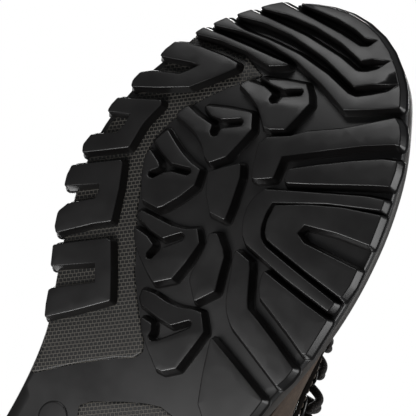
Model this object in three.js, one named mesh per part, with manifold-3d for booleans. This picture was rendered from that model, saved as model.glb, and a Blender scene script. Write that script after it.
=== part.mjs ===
// Steel toe work boot, left foot, six-inch shaft, lugged rubber outsole.
// Millimetres. +Z up, the toe points to -Y, the heel to +Y, the outer (lateral) side is +X.
// The ground is z = 0 and the origin is under the middle of the boot.
import * as THREE from 'three';
import { mergeVertices } from 'three/addons/utils/BufferGeometryUtils.js';
import Module from 'manifold-3d';

const wasm = await Module();
wasm.setup();

// ---------------------------------------------------------------- driving dimensions
const MIDDLE_X = 3.6; // the heel-to-toe line lies this far to the lateral side of the origin
const MIDDLE_Y = -0.4; // half the difference between the heel's and the toe's reach
const GAP = 0.3; // clearance between pieces that touch
const LAYER_GAP = 0.78; // the same between the upper's curved layers, whose facets differ
const SPRING_START = -80; // y where the sole starts to curve up to the toe
const SPRING_RADIUS = 205; // radius of that curve
const LUG_HEIGHT = 5; // tread depth
const PLATE_THICKNESS = 4.5; // solid rubber above the tread
const MIDSOLE_BALL = 10.5; // midsole thickness under the ball of the foot
const MIDSOLE_HEEL = 23; // midsole thickness under the heel
const MIDSOLE_INSET = 1; // the midsole's edge lies this far inside the outsole's
const SHANK = { length: 120, width: 16, thickness: 1.6, x: 2, y: 20 };
const PLATE_STEEL = 1.2; // puncture-resistant plate
const BOARD = 2; // insole board
const FOOTBED = 5; // removable footbed
const LINING = 2; // lining where a stiffener backs it
const STIFFENER = 1.7; // steel cap, heel counter
const FOAM = STIFFENER + LAYER_GAP; // the lining is this much thicker where no stiffener backs it
const LEATHER = 2; // vamp and quarters
const OVERLAY = 1.6; // reinforcements sewn on the outside
const COLLAR_PUFF = 6; // the collar pad's thickness at its middle
const CAP_BACK_Y = -92; // rear edge of the steel cap
const CAP_PAD = { length: 8, side: 1.9 }; // soft strip behind the steel cap, and its reach round the boot
const EYELETS = 5; // on each side
const EYELET_HOLE = 2.3;
const EYELET_RADIUS = 4.6;
const HOOKS = 2; // on each side
const LACE_RADIUS = 1.7;
const TONGUE_THICKNESS = 5;
const LOOP = { width: 16, height: 30, gap: 6, strap: 1.8, foot: 137.5 };

// offsets from the inside of the lining, layer by layer
const CAP_IN = LINING + LAYER_GAP;
const SKIN_IN = CAP_IN + FOAM;
const SKIN_OUT = SKIN_IN + LEATHER;
const OVER_IN = SKIN_OUT + LAYER_GAP;
const OVER_OUT = OVER_IN + OVERLAY;

// ---------------------------------------------------------------- helpers
const boot = new THREE.Group();
boot.position.set(MIDDLE_X, MIDDLE_Y, 0);

function addPiece(name, geometry, color, roughness, metalness = 0) {
  const material = new THREE.MeshStandardMaterial({ color, roughness, metalness });
  const mesh = new THREE.Mesh(geometry, material);
  mesh.name = name;
  boot.add(mesh);
  return mesh;
}

function toSolid(geometry) {
  geometry.deleteAttribute('normal');
  geometry.deleteAttribute('uv');
  const merged = mergeVertices(geometry, 1e-4);
  const vertProperties = new Float32Array(merged.attributes.position.array);
  const triVerts = new Uint32Array(merged.index.array);
  return new wasm.Manifold(new wasm.Mesh({ numProp: 3, vertProperties, triVerts }));
}

function toGeometry(solid) {
  const mesh = solid.getMesh();
  const geometry = new THREE.BufferGeometry();
  geometry.setAttribute('position', new THREE.BufferAttribute(mesh.vertProperties, 3));
  geometry.setIndex(new THREE.BufferAttribute(mesh.triVerts, 1));
  return geometry;
}

const asShape = (points) => new THREE.Shape(points.map(([x, y]) => new THREE.Vector2(x, y)));

// An upright prism over a plan outline, taller than anything it is cut with.
const UNDER = -20;
const OVER = 90;
function prism(points) {
  const geometry = new THREE.ExtrudeGeometry(asShape(points), { depth: OVER - UNDER, bevelEnabled: false });
  geometry.translate(0, 0, UNDER);
  return toSolid(geometry);
}

// A slab as wide as the boot whose side view is the outline (y, z).
function slab(points, halfWidth = 90) {
  const geometry = new THREE.ExtrudeGeometry(asShape(points), { depth: 2 * halfWidth, bevelEnabled: false });
  geometry.translate(0, 0, -halfWidth);
  const sideways = new THREE.Matrix4().makeBasis(
    new THREE.Vector3(0, 1, 0), new THREE.Vector3(0, 0, 1), new THREE.Vector3(1, 0, 0));
  geometry.applyMatrix4(sideways);
  return toSolid(geometry);
}

// ---------------------------------------------------------------- the sole's side view
const spring = (y) => Math.max(0, SPRING_START - y) ** 2 / (2 * SPRING_RADIUS);
const smooth = (x) => {
  const c = Math.min(1, Math.max(0, x));
  return c * c * (3 - 2 * c);
};
const PLATE_TOP = LUG_HEIGHT + PLATE_THICKNESS;
const midsoleThickness = (y) => MIDSOLE_BALL + (MIDSOLE_HEEL - MIDSOLE_BALL) * smooth((y + 70) / 170);
const floorLevel = (y) => LUG_HEIGHT + spring(y);
const plateTop = (y) => PLATE_TOP + spring(y);
const midsoleTop = (y) => PLATE_TOP + GAP + midsoleThickness(y) + 1.25 * spring(y);

// Heights are followed in straight steps, short at the toe and longer behind it.
const STATIONS_Y = [-165, -150, -141, -132, -123, -114, -104, -93, -80, -55, -30, -5, 20, 45, 70, 100, 170];
// Where the upper and the boards stand, in the same straight steps.
function seatLevel(y) {
  const i = Math.max(1, STATIONS_Y.findIndex((station) => station >= y));
  const [y0, y1] = [STATIONS_Y[i - 1], STATIONS_Y[i]];
  const share = (y - y0) / (y1 - y0);
  return midsoleTop(y0) * (1 - share) + midsoleTop(y1) * share + GAP;
}
function between(low, high) {
  const below = STATIONS_Y.map((y) => [y, low(y)]);
  const above = STATIONS_Y.map((y) => [y, high(y)]).reverse();
  return slab([...below, ...above]);
}

// ---------------------------------------------------------------- the sole's plan
const SOLE_EDGE = [
  [0, -153], [15, -150.5], [27, -142], [36, -129], [43.5, -114], [48.5, -97], [50.8, -80], [51, -62],
  [49, -44], [45, -25], [40.5, -4], [37.5, 18], [38, 42], [41, 66], [43, 92], [43, 115], [38.5, 135],
  [26, 148.5], [2, 153.5], [-20, 149], [-34, 134], [-40, 113], [-40.5, 88], [-37.5, 62], [-35, 40],
  [-34.5, 18], [-36.5, -2], [-41.5, -20], [-48.5, -37], [-54.5, -55], [-57.5, -75], [-55, -95],
  [-50, -111], [-42.5, -125.5], [-32, -139.5], [-18, -149.5],
];
function curveThrough(points) {
  const path = new THREE.CatmullRomCurve3(points.map(([x, y, z = 0]) => new THREE.Vector3(x, y, z)), true);
  path.curveType = 'catmullrom';
  return path;
}
// Moves a plan outline inwards by a distance that may change along it.
function inset(points, distance) {
  const count = points.length;
  return points.map(([x, y], i) => {
    const [x0, y0] = points[(i + count - 1) % count];
    const [x1, y1] = points[(i + 1) % count];
    const length = Math.hypot(x1 - x0, y1 - y0);
    return [x - ((y1 - y0) / length) * distance, y + ((x1 - x0) / length) * distance];
  });
}
function rounded(points, count) {
  const path = curveThrough(points);
  return Array.from({ length: count }, (_, i) => {
    const p = path.getPoint(i / count);
    return [p.x, p.y];
  });
}

// ---------------------------------------------------------------- tread
// One comb at the toe: three grooves are cut into it from the medial side.
const TOE_COMB = [
  [0, -154], [15, -151.5], [25, -145.5], [33, -136.5], [33.5, -132.5], [25, -127], [17, -122.7],
  [-2, -129.5], [-20, -131], [-42, -127], [-36, -135], [-30, -142], [-15, -151],
];
const TOE_GROOVES = [
  [[-30, -149], [-20, -148.2], [-5, -150], [8, -148.4], [12.5, -149.7], [9, -145.3], [-10, -146.3],
    [-30, -147.5]],
  [[-36, -140.5], [-9.5, -144], [12, -140.5], [20.8, -145.5], [13, -137], [-10, -139.8], [-36, -138.5]],
  [[-44, -132.5], [-15, -137.3], [15.5, -131.5], [28, -139.3], [16, -128.7], [-8, -133], [-44, -130.5]],
];
// Blocks along the medial edge, each with a slot through its outer side.
const MEDIAL_BLOCKS = [
  { outline: [[-45.5, -121.5], [-35, -124], [-14.5, -124], [-7, -128.3], [-25, -127], [-43.5, -125.3]] },
  {
    outline: [[-49, -116], [-40, -119], [-24.5, -120], [-35, -104.3], [-54.5, -94.5], [-54.5, -99.5],
      [-51, -110]],
    slot: [[-57, -108.5], [-36.7, -112.8], [-41, -107], [-57, -101.5]],
  },
  {
    outline: [[-56.3, -89.2], [-41, -96.2], [-42.8, -85], [-42.7, -76], [-57.5, -66], [-58.8, -69],
      [-57.7, -81]],
    slot: [[-63, -82], [-48.7, -86.5], [-49.5, -78.5], [-63, -71]],
  },
  {
    outline: [[-58.5, -60.8], [-42.7, -71.3], [-38.5, -63], [-34.2, -50.7], [-50.5, -37.2], [-54.4, -45]],
    slot: [[-63, -51.5], [-45.5, -60], [-44.3, -55], [-59, -44]],
  },
  {
    outline: [[-49.3, -33.8], [-31, -45.5], [-19.7, -27.5], [-38.3, -10.3], [-43.5, -22]],
    slot: [[-54, -22.5], [-32, -36], [-28.5, -30.3], [-44, -19.5]],
  },
];
// Arrowheads down the middle, each with a bird's-foot slit.
const ARROWS = [
  {
    outline: [[-18, -117], [-14.5, -120], [0, -125], [5.5, -119.5], [3.3, -107.5], [-4, -104.5], [-10, -110],
      [-20.5, -113.5]],
    slit: [[-19.5, -118.5], [-12, -119.3], [-6, -119.3], [0, -122.5], [1.3, -121], [-5.5, -114], [-7.5, -114],
      [-7.5, -117], [-12, -117.3], [-20, -116]],
  },
  {
    outline: [[-28, -101.5], [-10.5, -107.3], [-7, -102], [-9.7, -89.5], [-14, -84.8], [-20, -89.5],
      [-34.5, -93.5], [-33.5, -97.5]],
    slit: [[-31, -101.5], [-24, -99.8], [-19, -99.8], [-12.5, -103.3], [-11, -101.5], [-17, -93.7],
      [-19, -94], [-19.5, -97.3], [-24, -97.8], [-34, -98]],
  },
  {
    outline: [[-35, -88.5], [-25, -83.5], [-15.7, -81.7], [-14.3, -76], [-17, -70], [-22, -62.8],
      [-29, -62.5], [-36.5, -75.5], [-37, -80]],
    slit: [[-39, -83], [-32, -79], [-27, -78], [-19.5, -79.8], [-19, -78], [-30, -71.2], [-31.8, -72],
      [-29, -75.8], [-32, -77], [-39, -79.5]],
  },
  {
    outline: [[-28, -59.7], [-15, -60.2], [-6.3, -64], [-2.5, -60], [-4.3, -44.6], [-9.7, -40.2],
      [-24, -49.5], [-29.5, -58.5]],
    slit: [[-31, -57.5], [-22, -54.6], [-15, -54.6], [-10, -59.5], [-8.3, -58], [-14.5, -47], [-16.5, -46.8],
      [-16, -51.8], [-22, -52.4], [-28, -51.5]],
  },
  {
    outline: [[-13, -37], [-2, -37], [10.3, -40.3], [15, -35], [13.1, -19.6], [7.8, -16], [-5, -24.5],
      [-12, -33.5]],
    slit: [[-15, -32.5], [-10, -31.5], [3.5, -31], [8.5, -35.8], [10, -34.5], [2, -23.8], [0, -24],
      [-1.5, -28.3], [-13, -29]],
  },
];
const SMALL_LUGS = [
  [[-7, -88], [-4, -90.5], [-1.5, -86], [1.6, -70.5], [-5, -70.2], [-13, -82.3]],
  [[1.5, -66], [8, -60], [11.5, -48.5], [6.5, -42], [0.3, -49], [0.2, -60], [-1.5, -64.5]],
];
// Bars that fan out to the lateral edge.
const LATERAL_BARS = [
  { outline: [[36.7, -127.5], [41, -120.7], [20, -108], [7.3, -98.8], [9, -91], [2.5, -87.5], [-2.5, -99],
    [-1, -102.5], [6, -106.5]] },
  { outline: [[11.5, -96.5], [30, -109.5], [43, -116.5], [45.5, -107.3], [30, -99.5], [13.5, -92]] },
  { outline: [[46.5, -103.2], [30, -96.5], [8, -86.5], [5.8, -80], [8, -71.5], [12, -67.3], [30, -64],
    [49.5, -61.5], [49.7, -65.8], [18.5, -70.3], [14.2, -75], [13.3, -84], [30, -92.5], [47.5, -99.3]] },
  {
    outline: [[14.3, -83.5], [30, -91.5], [48.2, -98], [51, -80], [50.7, -67], [20, -71.5], [15.2, -76]],
    slot: [[26.5, -83], [38, -85.5], [56, -87.5], [56, -78.5], [30, -77.5], [27, -79]],
  },
  { outline: [[22.5, -63], [40, -60.3], [50.8, -59], [50, -45.3], [40, -49], [26, -54.3], [22.5, -60.5]] },
  { outline: [[10, -64.5], [16.5, -63.3], [20, -57], [25, -48.5], [32, -46.8], [49.3, -39.5], [47.3, -32],
    [30, -38.3], [18, -44.8], [12.5, -57]] },
  { outline: [[17.5, -35.3], [30, -31], [45.7, -25.5], [42, -8], [33, -6.5], [25.5, -12]] },
];
// The heel: three slotted blocks on each side, a comb across the back and arrowheads between.
const HEEL = { start: 52, pitch: 25, block: 21.5, blocks: 3, inner: 17, slant: 4, middle: 2 };
function heelBlocks() {
  const found = [];
  for (let i = 0; i < HEEL.blocks; i += 1) {
    const y0 = HEEL.start + i * HEEL.pitch;
    const y1 = y0 + HEEL.block;
    for (const side of [1, -1]) {
      const at = (x, y) => [HEEL.middle + side * x, y];
      const outline = [at(60, y0 + HEEL.slant), at(HEEL.inner, y0), at(HEEL.inner - 2, y0 + 10),
        at(HEEL.inner, y1), at(60, y1 + HEEL.slant)];
      const slot = [at(60, y0 + 9 + HEEL.slant), at(HEEL.inner + 8, y0 + 8), at(HEEL.inner + 8, y0 + 13),
        at(60, y0 + 15 + HEEL.slant)];
      found.push({
        outline: side > 0 ? outline : outline.reverse(),
        slot: side > 0 ? slot : slot.reverse(),
      });
    }
  }
  return found;
}
const HEEL_COMB = [[-60, 130.5], [-13, 126], [2, 124], [17, 126], [62, 130.5], [62, 160], [-60, 160]];
const HEEL_GROOVES = [
  [[-60, 137.5], [-12, 133], [2, 132], [16, 133], [62, 137.5], [62, 140], [16, 136], [2, 135], [-12, 136],
    [-60, 140]],
  [[-60, 147], [-10, 142.5], [2, 142], [14, 142.5], [60, 147], [60, 149.5], [14, 145], [2, 144.5],
    [-10, 145], [-60, 149.5]],
];
function heelArrow(y) {
  return [[2, y], [13, y + 6], [11, y + 17], [2, y + 23], [-7, y + 17], [-9, y + 6]];
}

function makeOutsole() {
  const edge = rounded(SOLE_EDGE, 72);
  const plan = prism(edge);
  const plate = between(floorLevel, plateTop).intersect(plan);
  const tread = prism(TOE_COMB);
  const blocks = [...MEDIAL_BLOCKS, ...LATERAL_BARS, ...heelBlocks()];
  const lugs = [...blocks, ...ARROWS, ...SMALL_LUGS.map((outline) => ({ outline })), { outline: HEEL_COMB },
    { outline: heelArrow(58) }, { outline: heelArrow(90) }];
  let standing = tread;
  for (const lug of lugs) {
    let solid = prism(lug.outline);
    const cut = lug.slot ?? lug.slit;
    if (cut) solid = solid.subtract(prism(cut));
    standing = standing.add(solid);
  }
  for (const groove of [...TOE_GROOVES, ...HEEL_GROOVES]) {
    standing = standing.subtract(prism(groove));
  }
  const reach = prism(rounded(inset(SOLE_EDGE, -1.2), 72));
  const deep = between(spring, (y) => floorLevel(y) + PLATE_THICKNESS / 2);
  return toGeometry(standing.intersect(reach).intersect(deep).add(plate));
}

// The steel shank's plan, grown by a clearance.
function shankPlan(clear) {
  const wide = SHANK.width / 2 + clear;
  const long = SHANK.length / 2 + clear;
  return [[SHANK.x - wide, SHANK.y - long], [SHANK.x + wide, SHANK.y - long],
    [SHANK.x + wide, SHANK.y + long], [SHANK.x - wide, SHANK.y + long]];
}
function makeMidsole() {
  const plan = prism(rounded(inset(SOLE_EDGE, MIDSOLE_INSET), 72));
  const body = between((y) => plateTop(y) + GAP, midsoleTop).intersect(plan);
  const pocket = between((y) => midsoleTop(y) - SHANK.thickness - GAP, (y) => midsoleTop(y) + 5);
  return toGeometry(body.subtract(pocket.intersect(prism(shankPlan(GAP)))));
}

function makeShank() {
  const strip = between((y) => midsoleTop(y) - SHANK.thickness, midsoleTop);
  return toGeometry(strip.intersect(prism(shankPlan(0))));
}

// ---------------------------------------------------------------- the upper's surface
// Four closed rows of control points round the boot, from the toe by the lateral side to the heel and
// back by the medial side. Row 0 is the feather line on the sole, row 3 the throat and collar edge;
// a cubic Bezier curve runs from row 0 to row 3 at every place round the boot.
const ROUND = [
  { foot: [-3, -142.5], belly: [-4, -149.5, 62], waist: [-6, -107, 76], edge: [-2, -48, 95] },
  { foot: [17.5, -134], belly: [12, -138.5, 59], waist: [4, -104, 77], edge: [6, -46, 95.5] },
  { foot: [31, -108], belly: [26, -108, 52], waist: [13, -88, 79], edge: [11.5, -41, 96.5] },
  { foot: [37, -70], belly: [33, -70, 50], waist: [19, -62, 81], edge: [14.5, -27, 101.5] },
  { foot: [36, -25], belly: [34, -26, 56], waist: [18, -20, 94], edge: [17, 2, 124] },
  { foot: [29, 18], belly: [35, 18, 65], waist: [35, 22, 120], edge: [24, 34, 160] },
  { foot: [31, 60], belly: [37, 60, 75], waist: [35, 62, 125], edge: [36, 66, 164] },
  { foot: [33, 104], belly: [38, 106, 70], waist: [32, 102, 115], edge: [34, 101, 161] },
  { foot: [25, 132], belly: [28, 138, 70], waist: [23, 124, 115], edge: [23, 123, 158] },
  { foot: [1, 143], belly: [1, 151, 70], waist: [1, 133, 115], edge: [1, 134, 157] },
  { foot: [-22, 132], belly: [-25, 138, 70], waist: [-21, 124, 115], edge: [-21, 123, 158] },
  { foot: [-30, 104], belly: [-35, 106, 70], waist: [-30, 102, 115], edge: [-32, 101, 161] },
  { foot: [-27, 60], belly: [-34, 60, 75], waist: [-33, 62, 125], edge: [-34, 66, 164] },
  { foot: [-26, 16], belly: [-35, 17, 65], waist: [-36, 22, 120], edge: [-25, 34, 160] },
  { foot: [-35, -25], belly: [-41, -26, 62], waist: [-37, -20, 97], edge: [-22, 2, 127] },
  { foot: [-47, -70], belly: [-52, -70, 55], waist: [-38, -62, 85], edge: [-20, -27, 102] },
  { foot: [-44, -106], belly: [-49, -108, 58], waist: [-30, -88, 81], edge: [-16, -40, 97.5] },
  { foot: [-26, -133], belly: [-34, -140, 62], waist: [-21, -103, 78], edge: [-9.5, -46, 95.5] },
];
const PLACES = ROUND.length;
const rows = [
  curveThrough(ROUND.map(({ foot }) => foot)),
  curveThrough(ROUND.map(({ belly }) => belly)),
  curveThrough(ROUND.map(({ waist }) => waist)),
  curveThrough(ROUND.map(({ edge }) => edge)),
];
function onLast(u, t) {
  const along = (((u % PLACES) + PLACES) % PLACES) / PLACES;
  const [a, b, c, d] = rows.map((row) => row.getPoint(along));
  a.z = seatLevel(a.y);
  const s = 1 - t;
  return new THREE.Vector3()
    .addScaledVector(a, s * s * s)
    .addScaledVector(b, 3 * s * s * t)
    .addScaledVector(c, 3 * s * t * t)
    .addScaledVector(d, t * t * t);
}
const STEP = 1e-3;
function outward(u, t) {
  const du = onLast(u + STEP, t).sub(onLast(u - STEP, t));
  const dt = onLast(u, Math.min(1, t + STEP)).sub(onLast(u, Math.max(0, t - STEP)));
  return du.cross(dt).normalize();
}
// A place at a distance from the last; on the feather line it stays level with the seat.
function offLast(u, t, away) {
  const place = onLast(u, t).addScaledVector(outward(u, t), away);
  if (t === 0) place.z = seatLevel(place.y);
  return place;
}

// How far up a place reaches before it passes the line y = level, found by halving.
function heightAt(u, level) {
  let low = 0;
  let high = 1;
  for (let i = 0; i < 24; i += 1) {
    const middle = (low + high) / 2;
    if (onLast(u, middle).y < level) low = middle;
    else high = middle;
  }
  return low;
}

// A closed shell between two offsets of the last, over u = from..to and t = low(u)..high(u).
function shell({ from, to, low, high, inner, outer, across, up, ring = false }) {
  const positions = [];
  const indices = [];
  const columns = ring ? across : across + 1;
  for (const away of [inner, outer]) {
    for (let i = 0; i < columns; i += 1) {
      const u = from + ((to - from) * i) / across;
      for (let j = 0; j <= up; j += 1) {
        const t = low(u) + ((high(u) - low(u)) * j) / up;
        positions.push(...offLast(u, t, away(u, t, j / up)));
      }
    }
  }
  const layer = columns * (up + 1);
  const at = (side, i, j) => side * layer + (i % columns) * (up + 1) + j;
  const quad = (a, b, c, d) => indices.push(a, b, c, a, c, d);
  for (let i = 0; i < across; i += 1) {
    for (let j = 0; j < up; j += 1) {
      quad(at(1, i, j), at(1, i + 1, j), at(1, i + 1, j + 1), at(1, i, j + 1));
      quad(at(0, i, j), at(0, i, j + 1), at(0, i + 1, j + 1), at(0, i + 1, j));
    }
    quad(at(0, i, 0), at(0, i + 1, 0), at(1, i + 1, 0), at(1, i, 0));
    quad(at(1, i, up), at(1, i + 1, up), at(0, i + 1, up), at(0, i, up));
  }
  if (!ring) {
    for (let j = 0; j < up; j += 1) {
      quad(at(0, 0, j), at(1, 0, j), at(1, 0, j + 1), at(0, 0, j + 1));
      quad(at(1, across, j), at(0, across, j), at(0, across, j + 1), at(1, across, j + 1));
    }
  }
  const geometry = new THREE.BufferGeometry();
  geometry.setAttribute('position', new THREE.Float32BufferAttribute(positions, 3));
  geometry.setIndex(indices);
  return geometry;
}
const fixed = (value) => () => value;

// ---------------------------------------------------------------- where the pieces end
const SEAM = 0.02; // half a seam's width, as a share of the way between two places
const CAP_SIDE = 2.35; // the steel cap reaches this many places to each side of the toe
const COUNTER = { from: 6.6, to: 11.4, top: 0.42 };
const STABILISER = { from: 6.9, to: 11.1, top: 0.27 };
const COLLAR = { from: 5.05, to: 12.95, low: 0.84, high: 0.99 };
const TOP_EDGE = 0.975; // the leather's edge at the throat
const heelPlace = 9;
const fromToe = (u) => (u > PLACES / 2 ? PLACES - u : Math.abs(u));

// 1 where a stiffener lies behind the lining, 0 elsewhere, with a short ramp between.
function backed(u, t) {
  const toe = fromToe(u);
  const cap = smooth((CAP_SIDE + 0.65 - toe) / 0.3)
    * smooth((CAP_BACK_Y + CAP_PAD.length + 14 - onLast(u, t).y) / 4);
  const heel = smooth((u - COUNTER.from + 0.35) / 0.25) * smooth((COUNTER.to + 0.35 - u) / 0.25)
    * smooth((COUNTER.top + 0.07 - t) / 0.04);
  return Math.max(cap, heel);
}

function makeLining() {
  return shell({
    from: 0, to: PLACES, low: fixed(0), high: fixed(0.985), across: 72, up: 12, ring: true,
    inner: fixed(0), outer: (u, t) => LINING + FOAM * (1 - backed(u, t)),
  });
}
function makeToeCap() {
  return shell({
    from: -CAP_SIDE, to: CAP_SIDE, low: fixed(0), high: (u) => heightAt(u, CAP_BACK_Y),
    across: 24, up: 10, inner: fixed(CAP_IN + 0.1), outer: fixed(CAP_IN + STIFFENER),
  });
}
function makeCapPad() {
  return shell({
    from: -CAP_PAD.side, to: CAP_PAD.side, low: (u) => heightAt(u, CAP_BACK_Y + 0.6),
    high: (u) => heightAt(u, CAP_BACK_Y + CAP_PAD.length),
    across: 16, up: 2, inner: fixed(CAP_IN), outer: fixed(CAP_IN + STIFFENER),
  });
}
function makeCounter() {
  return shell({
    ...COUNTER, low: fixed(0), high: fixed(COUNTER.top), across: 18, up: 5,
    inner: fixed(CAP_IN), outer: fixed(CAP_IN + STIFFENER),
  });
}
function makeVamp() {
  return shell({
    from: -3 + SEAM, to: 3 - SEAM, low: fixed(0), high: fixed(TOP_EDGE), across: 24, up: 12,
    inner: fixed(SKIN_IN), outer: fixed(SKIN_OUT),
  });
}
// The quarters run up to the throat in front and stop under the collar pad behind it.
function quarterTop(u) {
  const behind = smooth((Math.min(u, PLACES - u) - COLLAR.from + 0.5) / 0.4);
  return TOP_EDGE + (COLLAR.low - 0.006 - TOP_EDGE) * behind;
}
function makeQuarter(from, to) {
  return shell({
    from, to, low: fixed(0), high: quarterTop, across: 24, up: 12,
    inner: fixed(SKIN_IN), outer: fixed(SKIN_OUT),
  });
}
function makeCollarPad() {
  const puff = (u, t, share) => {
    const ends = smooth((u - COLLAR.from) / 0.4) * smooth((COLLAR.to - u) / 0.4);
    return SKIN_OUT - 0.5 + COLLAR_PUFF * 0.5 * Math.sin(Math.PI * share) * (0.4 + 0.6 * ends);
  };
  return shell({
    from: COLLAR.from, to: COLLAR.to, low: fixed(COLLAR.low), high: fixed(COLLAR.high),
    across: 30, up: 6, inner: fixed(SKIN_IN), outer: puff,
  });
}
function makeToeBumper() {
  return shell({
    from: -2.3, to: 2.3, low: fixed(0), high: (u) => 0.1 + 0.17 * smooth((2.3 - Math.abs(u)) / 1.2),
    across: 22, up: 3, inner: fixed(OVER_IN), outer: fixed(OVER_OUT),
  });
}
function makeStabiliser() {
  const high = (u) => 0.1 + (STABILISER.top - 0.1) * smooth((2.1 - Math.abs(u - heelPlace)) / 1.2);
  return shell({
    ...STABILISER, low: fixed(0), high, across: 18, up: 3, inner: fixed(OVER_IN), outer: fixed(OVER_OUT),
  });
}
function makeBackstay() {
  return shell({
    from: heelPlace - 0.42, to: heelPlace + 0.42, low: fixed(STABILISER.top + 0.006),
    high: fixed(COLLAR.low - 0.006), across: 4, up: 8, inner: fixed(OVER_IN), outer: fixed(OVER_OUT),
  });
}
const STAY = { from: 1.1, to: 4.55, low: 0.79 };
function makeEyestay(side) {
  const [from, to] = side > 0 ? [STAY.from, STAY.to] : [PLACES - STAY.to, PLACES - STAY.from];
  return shell({
    from, to, low: fixed(STAY.low), high: fixed(TOP_EDGE), across: 18, up: 2,
    inner: fixed(OVER_IN), outer: fixed(OVER_OUT),
  });
}

// ---------------------------------------------------------------- boards inside the foot
function footPlan(shrink, count = 54) {
  const feather = Array.from({ length: count }, (_, i) => {
    const p = onLast((PLACES * i) / count, 0);
    return [p.x, p.y];
  });
  return inset(feather, shrink);
}
function makeBoard(low, thickness, shrink) {
  const layer = between((y) => midsoleTop(y) + GAP + low, (y) => midsoleTop(y) + GAP + low + thickness);
  return toGeometry(layer.intersect(prism(footPlan(shrink))));
}

// ---------------------------------------------------------------- tongue
const TONGUE_LINE = new THREE.CatmullRomCurve3([
  new THREE.Vector3(-1.5, -58, 90.1), new THREE.Vector3(-2.2, -38, 97.8), new THREE.Vector3(-2.8, -16, 108.6),
  new THREE.Vector3(-2.2, 8, 124.8), new THREE.Vector3(-0.5, 28, 153), new THREE.Vector3(-0.5, 39, 172),
]);
const TONGUE_HALF = 23.5;
const TONGUE_DROP = 15;
function makeTongue() {
  const long = 14;
  const wide = 8;
  const positions = [];
  const indices = [];
  const across = new THREE.Vector3(1, 0, 0);
  for (const below of [TONGUE_THICKNESS, 0]) {
    for (let i = 0; i <= long; i += 1) {
      const v = i / long;
      const centre = TONGUE_LINE.getPoint(v);
      const up = across.clone().cross(TONGUE_LINE.getTangent(v)).normalize();
      const half = TONGUE_HALF * (0.55 + 0.45 * smooth(v * 2.2));
      const drop = TONGUE_DROP * (0.55 + 0.45 * smooth(v * 2.2));
      for (let j = 0; j <= wide; j += 1) {
        const x = (2 * j) / wide - 1;
        const thin = below * (1 - 0.6 * x * x);
        const p = centre.clone().addScaledVector(across, half * x);
        positions.push(...p.addScaledVector(up, -drop * x * x - thin));
      }
    }
  }
  const layer = (long + 1) * (wide + 1);
  const at = (side, i, j) => side * layer + i * (wide + 1) + j;
  const quad = (a, b, c, d) => indices.push(a, c, b, a, d, c);
  for (let i = 0; i < long; i += 1) {
    for (let j = 0; j < wide; j += 1) {
      quad(at(1, i, j), at(1, i + 1, j), at(1, i + 1, j + 1), at(1, i, j + 1));
      quad(at(0, i, j), at(0, i, j + 1), at(0, i + 1, j + 1), at(0, i + 1, j));
    }
    quad(at(0, i, 0), at(0, i + 1, 0), at(1, i + 1, 0), at(1, i, 0));
    quad(at(1, i, wide), at(1, i + 1, wide), at(0, i + 1, wide), at(0, i, wide));
  }
  for (let j = 0; j < wide; j += 1) {
    quad(at(0, 0, j), at(1, 0, j), at(1, 0, j + 1), at(0, 0, j + 1));
    quad(at(1, long, j), at(0, long, j), at(0, long, j + 1), at(1, long, j + 1));
  }
  const geometry = new THREE.BufferGeometry();
  geometry.setAttribute('position', new THREE.Float32BufferAttribute(positions, 3));
  geometry.setIndex(indices);
  return geometry;
}

// ---------------------------------------------------------------- lacing
// Places along the eyestay's middle, evenly spaced by length.
const STAY_MIDDLE = 0.9;
function stayPlaces() {
  const fine = 200;
  const count = EYELETS + HOOKS;
  const walk = [0];
  const from = STAY.from + 0.55;
  const to = STAY.to - 0.15;
  for (let i = 1; i <= fine; i += 1) {
    const a = onLast(from + ((to - from) * (i - 1)) / fine, STAY_MIDDLE);
    const b = onLast(from + ((to - from) * i) / fine, STAY_MIDDLE);
    walk.push(walk[i - 1] + a.distanceTo(b));
  }
  return Array.from({ length: count }, (_, k) => {
    const wanted = (walk[fine] * k) / (count - 1);
    const i = walk.findIndex((length) => length >= wanted - 1e-9);
    return from + ((to - from) * i) / fine;
  });
}
const PLACES_U = stayPlaces();
const onSide = (u, side) => (side > 0 ? u : PLACES - u);
// The frame of a fitting on the eyestay: x runs along it, y to the throat and z stands off the leather.
function fittingFrame(u) {
  const normal = outward(u, STAY_MIDDLE);
  const along = onLast(u + 0.05, STAY_MIDDLE).sub(onLast(u - 0.05, STAY_MIDDLE));
  along.addScaledVector(normal, -along.dot(normal)).normalize();
  const across = new THREE.Vector3().crossVectors(normal, along);
  return new THREE.Matrix4().makeBasis(along, across, normal)
    .setPosition(offLast(u, STAY_MIDDLE, OVER_OUT + 2 * GAP));
}
function eyeletGeometry() {
  const profile = [[EYELET_HOLE, 0], [EYELET_RADIUS, 0], [EYELET_RADIUS - 0.6, 1], [EYELET_HOLE + 0.4, 1.2],
    [EYELET_HOLE, 0]].map(([x, y]) => new THREE.Vector2(x, y));
  const ring = new THREE.LatheGeometry(profile, 16);
  ring.rotateX(Math.PI / 2);
  ring.deleteAttribute('normal');
  ring.deleteAttribute('uv');
  return mergeVertices(ring, 1e-4);
}
// A hook is a strip of steel: a foot riveted to the eyestay, a riser and a lip over the lace.
const HOOK = { foot: 6.5, rise: 6.6, lip: 5.5, sheet: 0.9, width: 3.6 };
function hookGeometry() {
  const { foot, rise, lip, sheet, width } = HOOK;
  const outline = [[-foot / 2, 0], [foot / 2, 0], [foot / 2, rise], [foot / 2 - lip, rise],
    [foot / 2 - lip, rise - sheet], [foot / 2 - sheet, rise - sheet], [foot / 2 - sheet, sheet],
    [-foot / 2, sheet]];
  const strip = new THREE.ExtrudeGeometry(asShape(outline), { depth: width, bevelEnabled: false });
  strip.translate(0, 0, -width / 2);
  strip.applyMatrix4(new THREE.Matrix4().makeBasis(
    new THREE.Vector3(0, 1, 0), new THREE.Vector3(0, 0, 1), new THREE.Vector3(1, 0, 0)));
  return strip;
}

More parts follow.
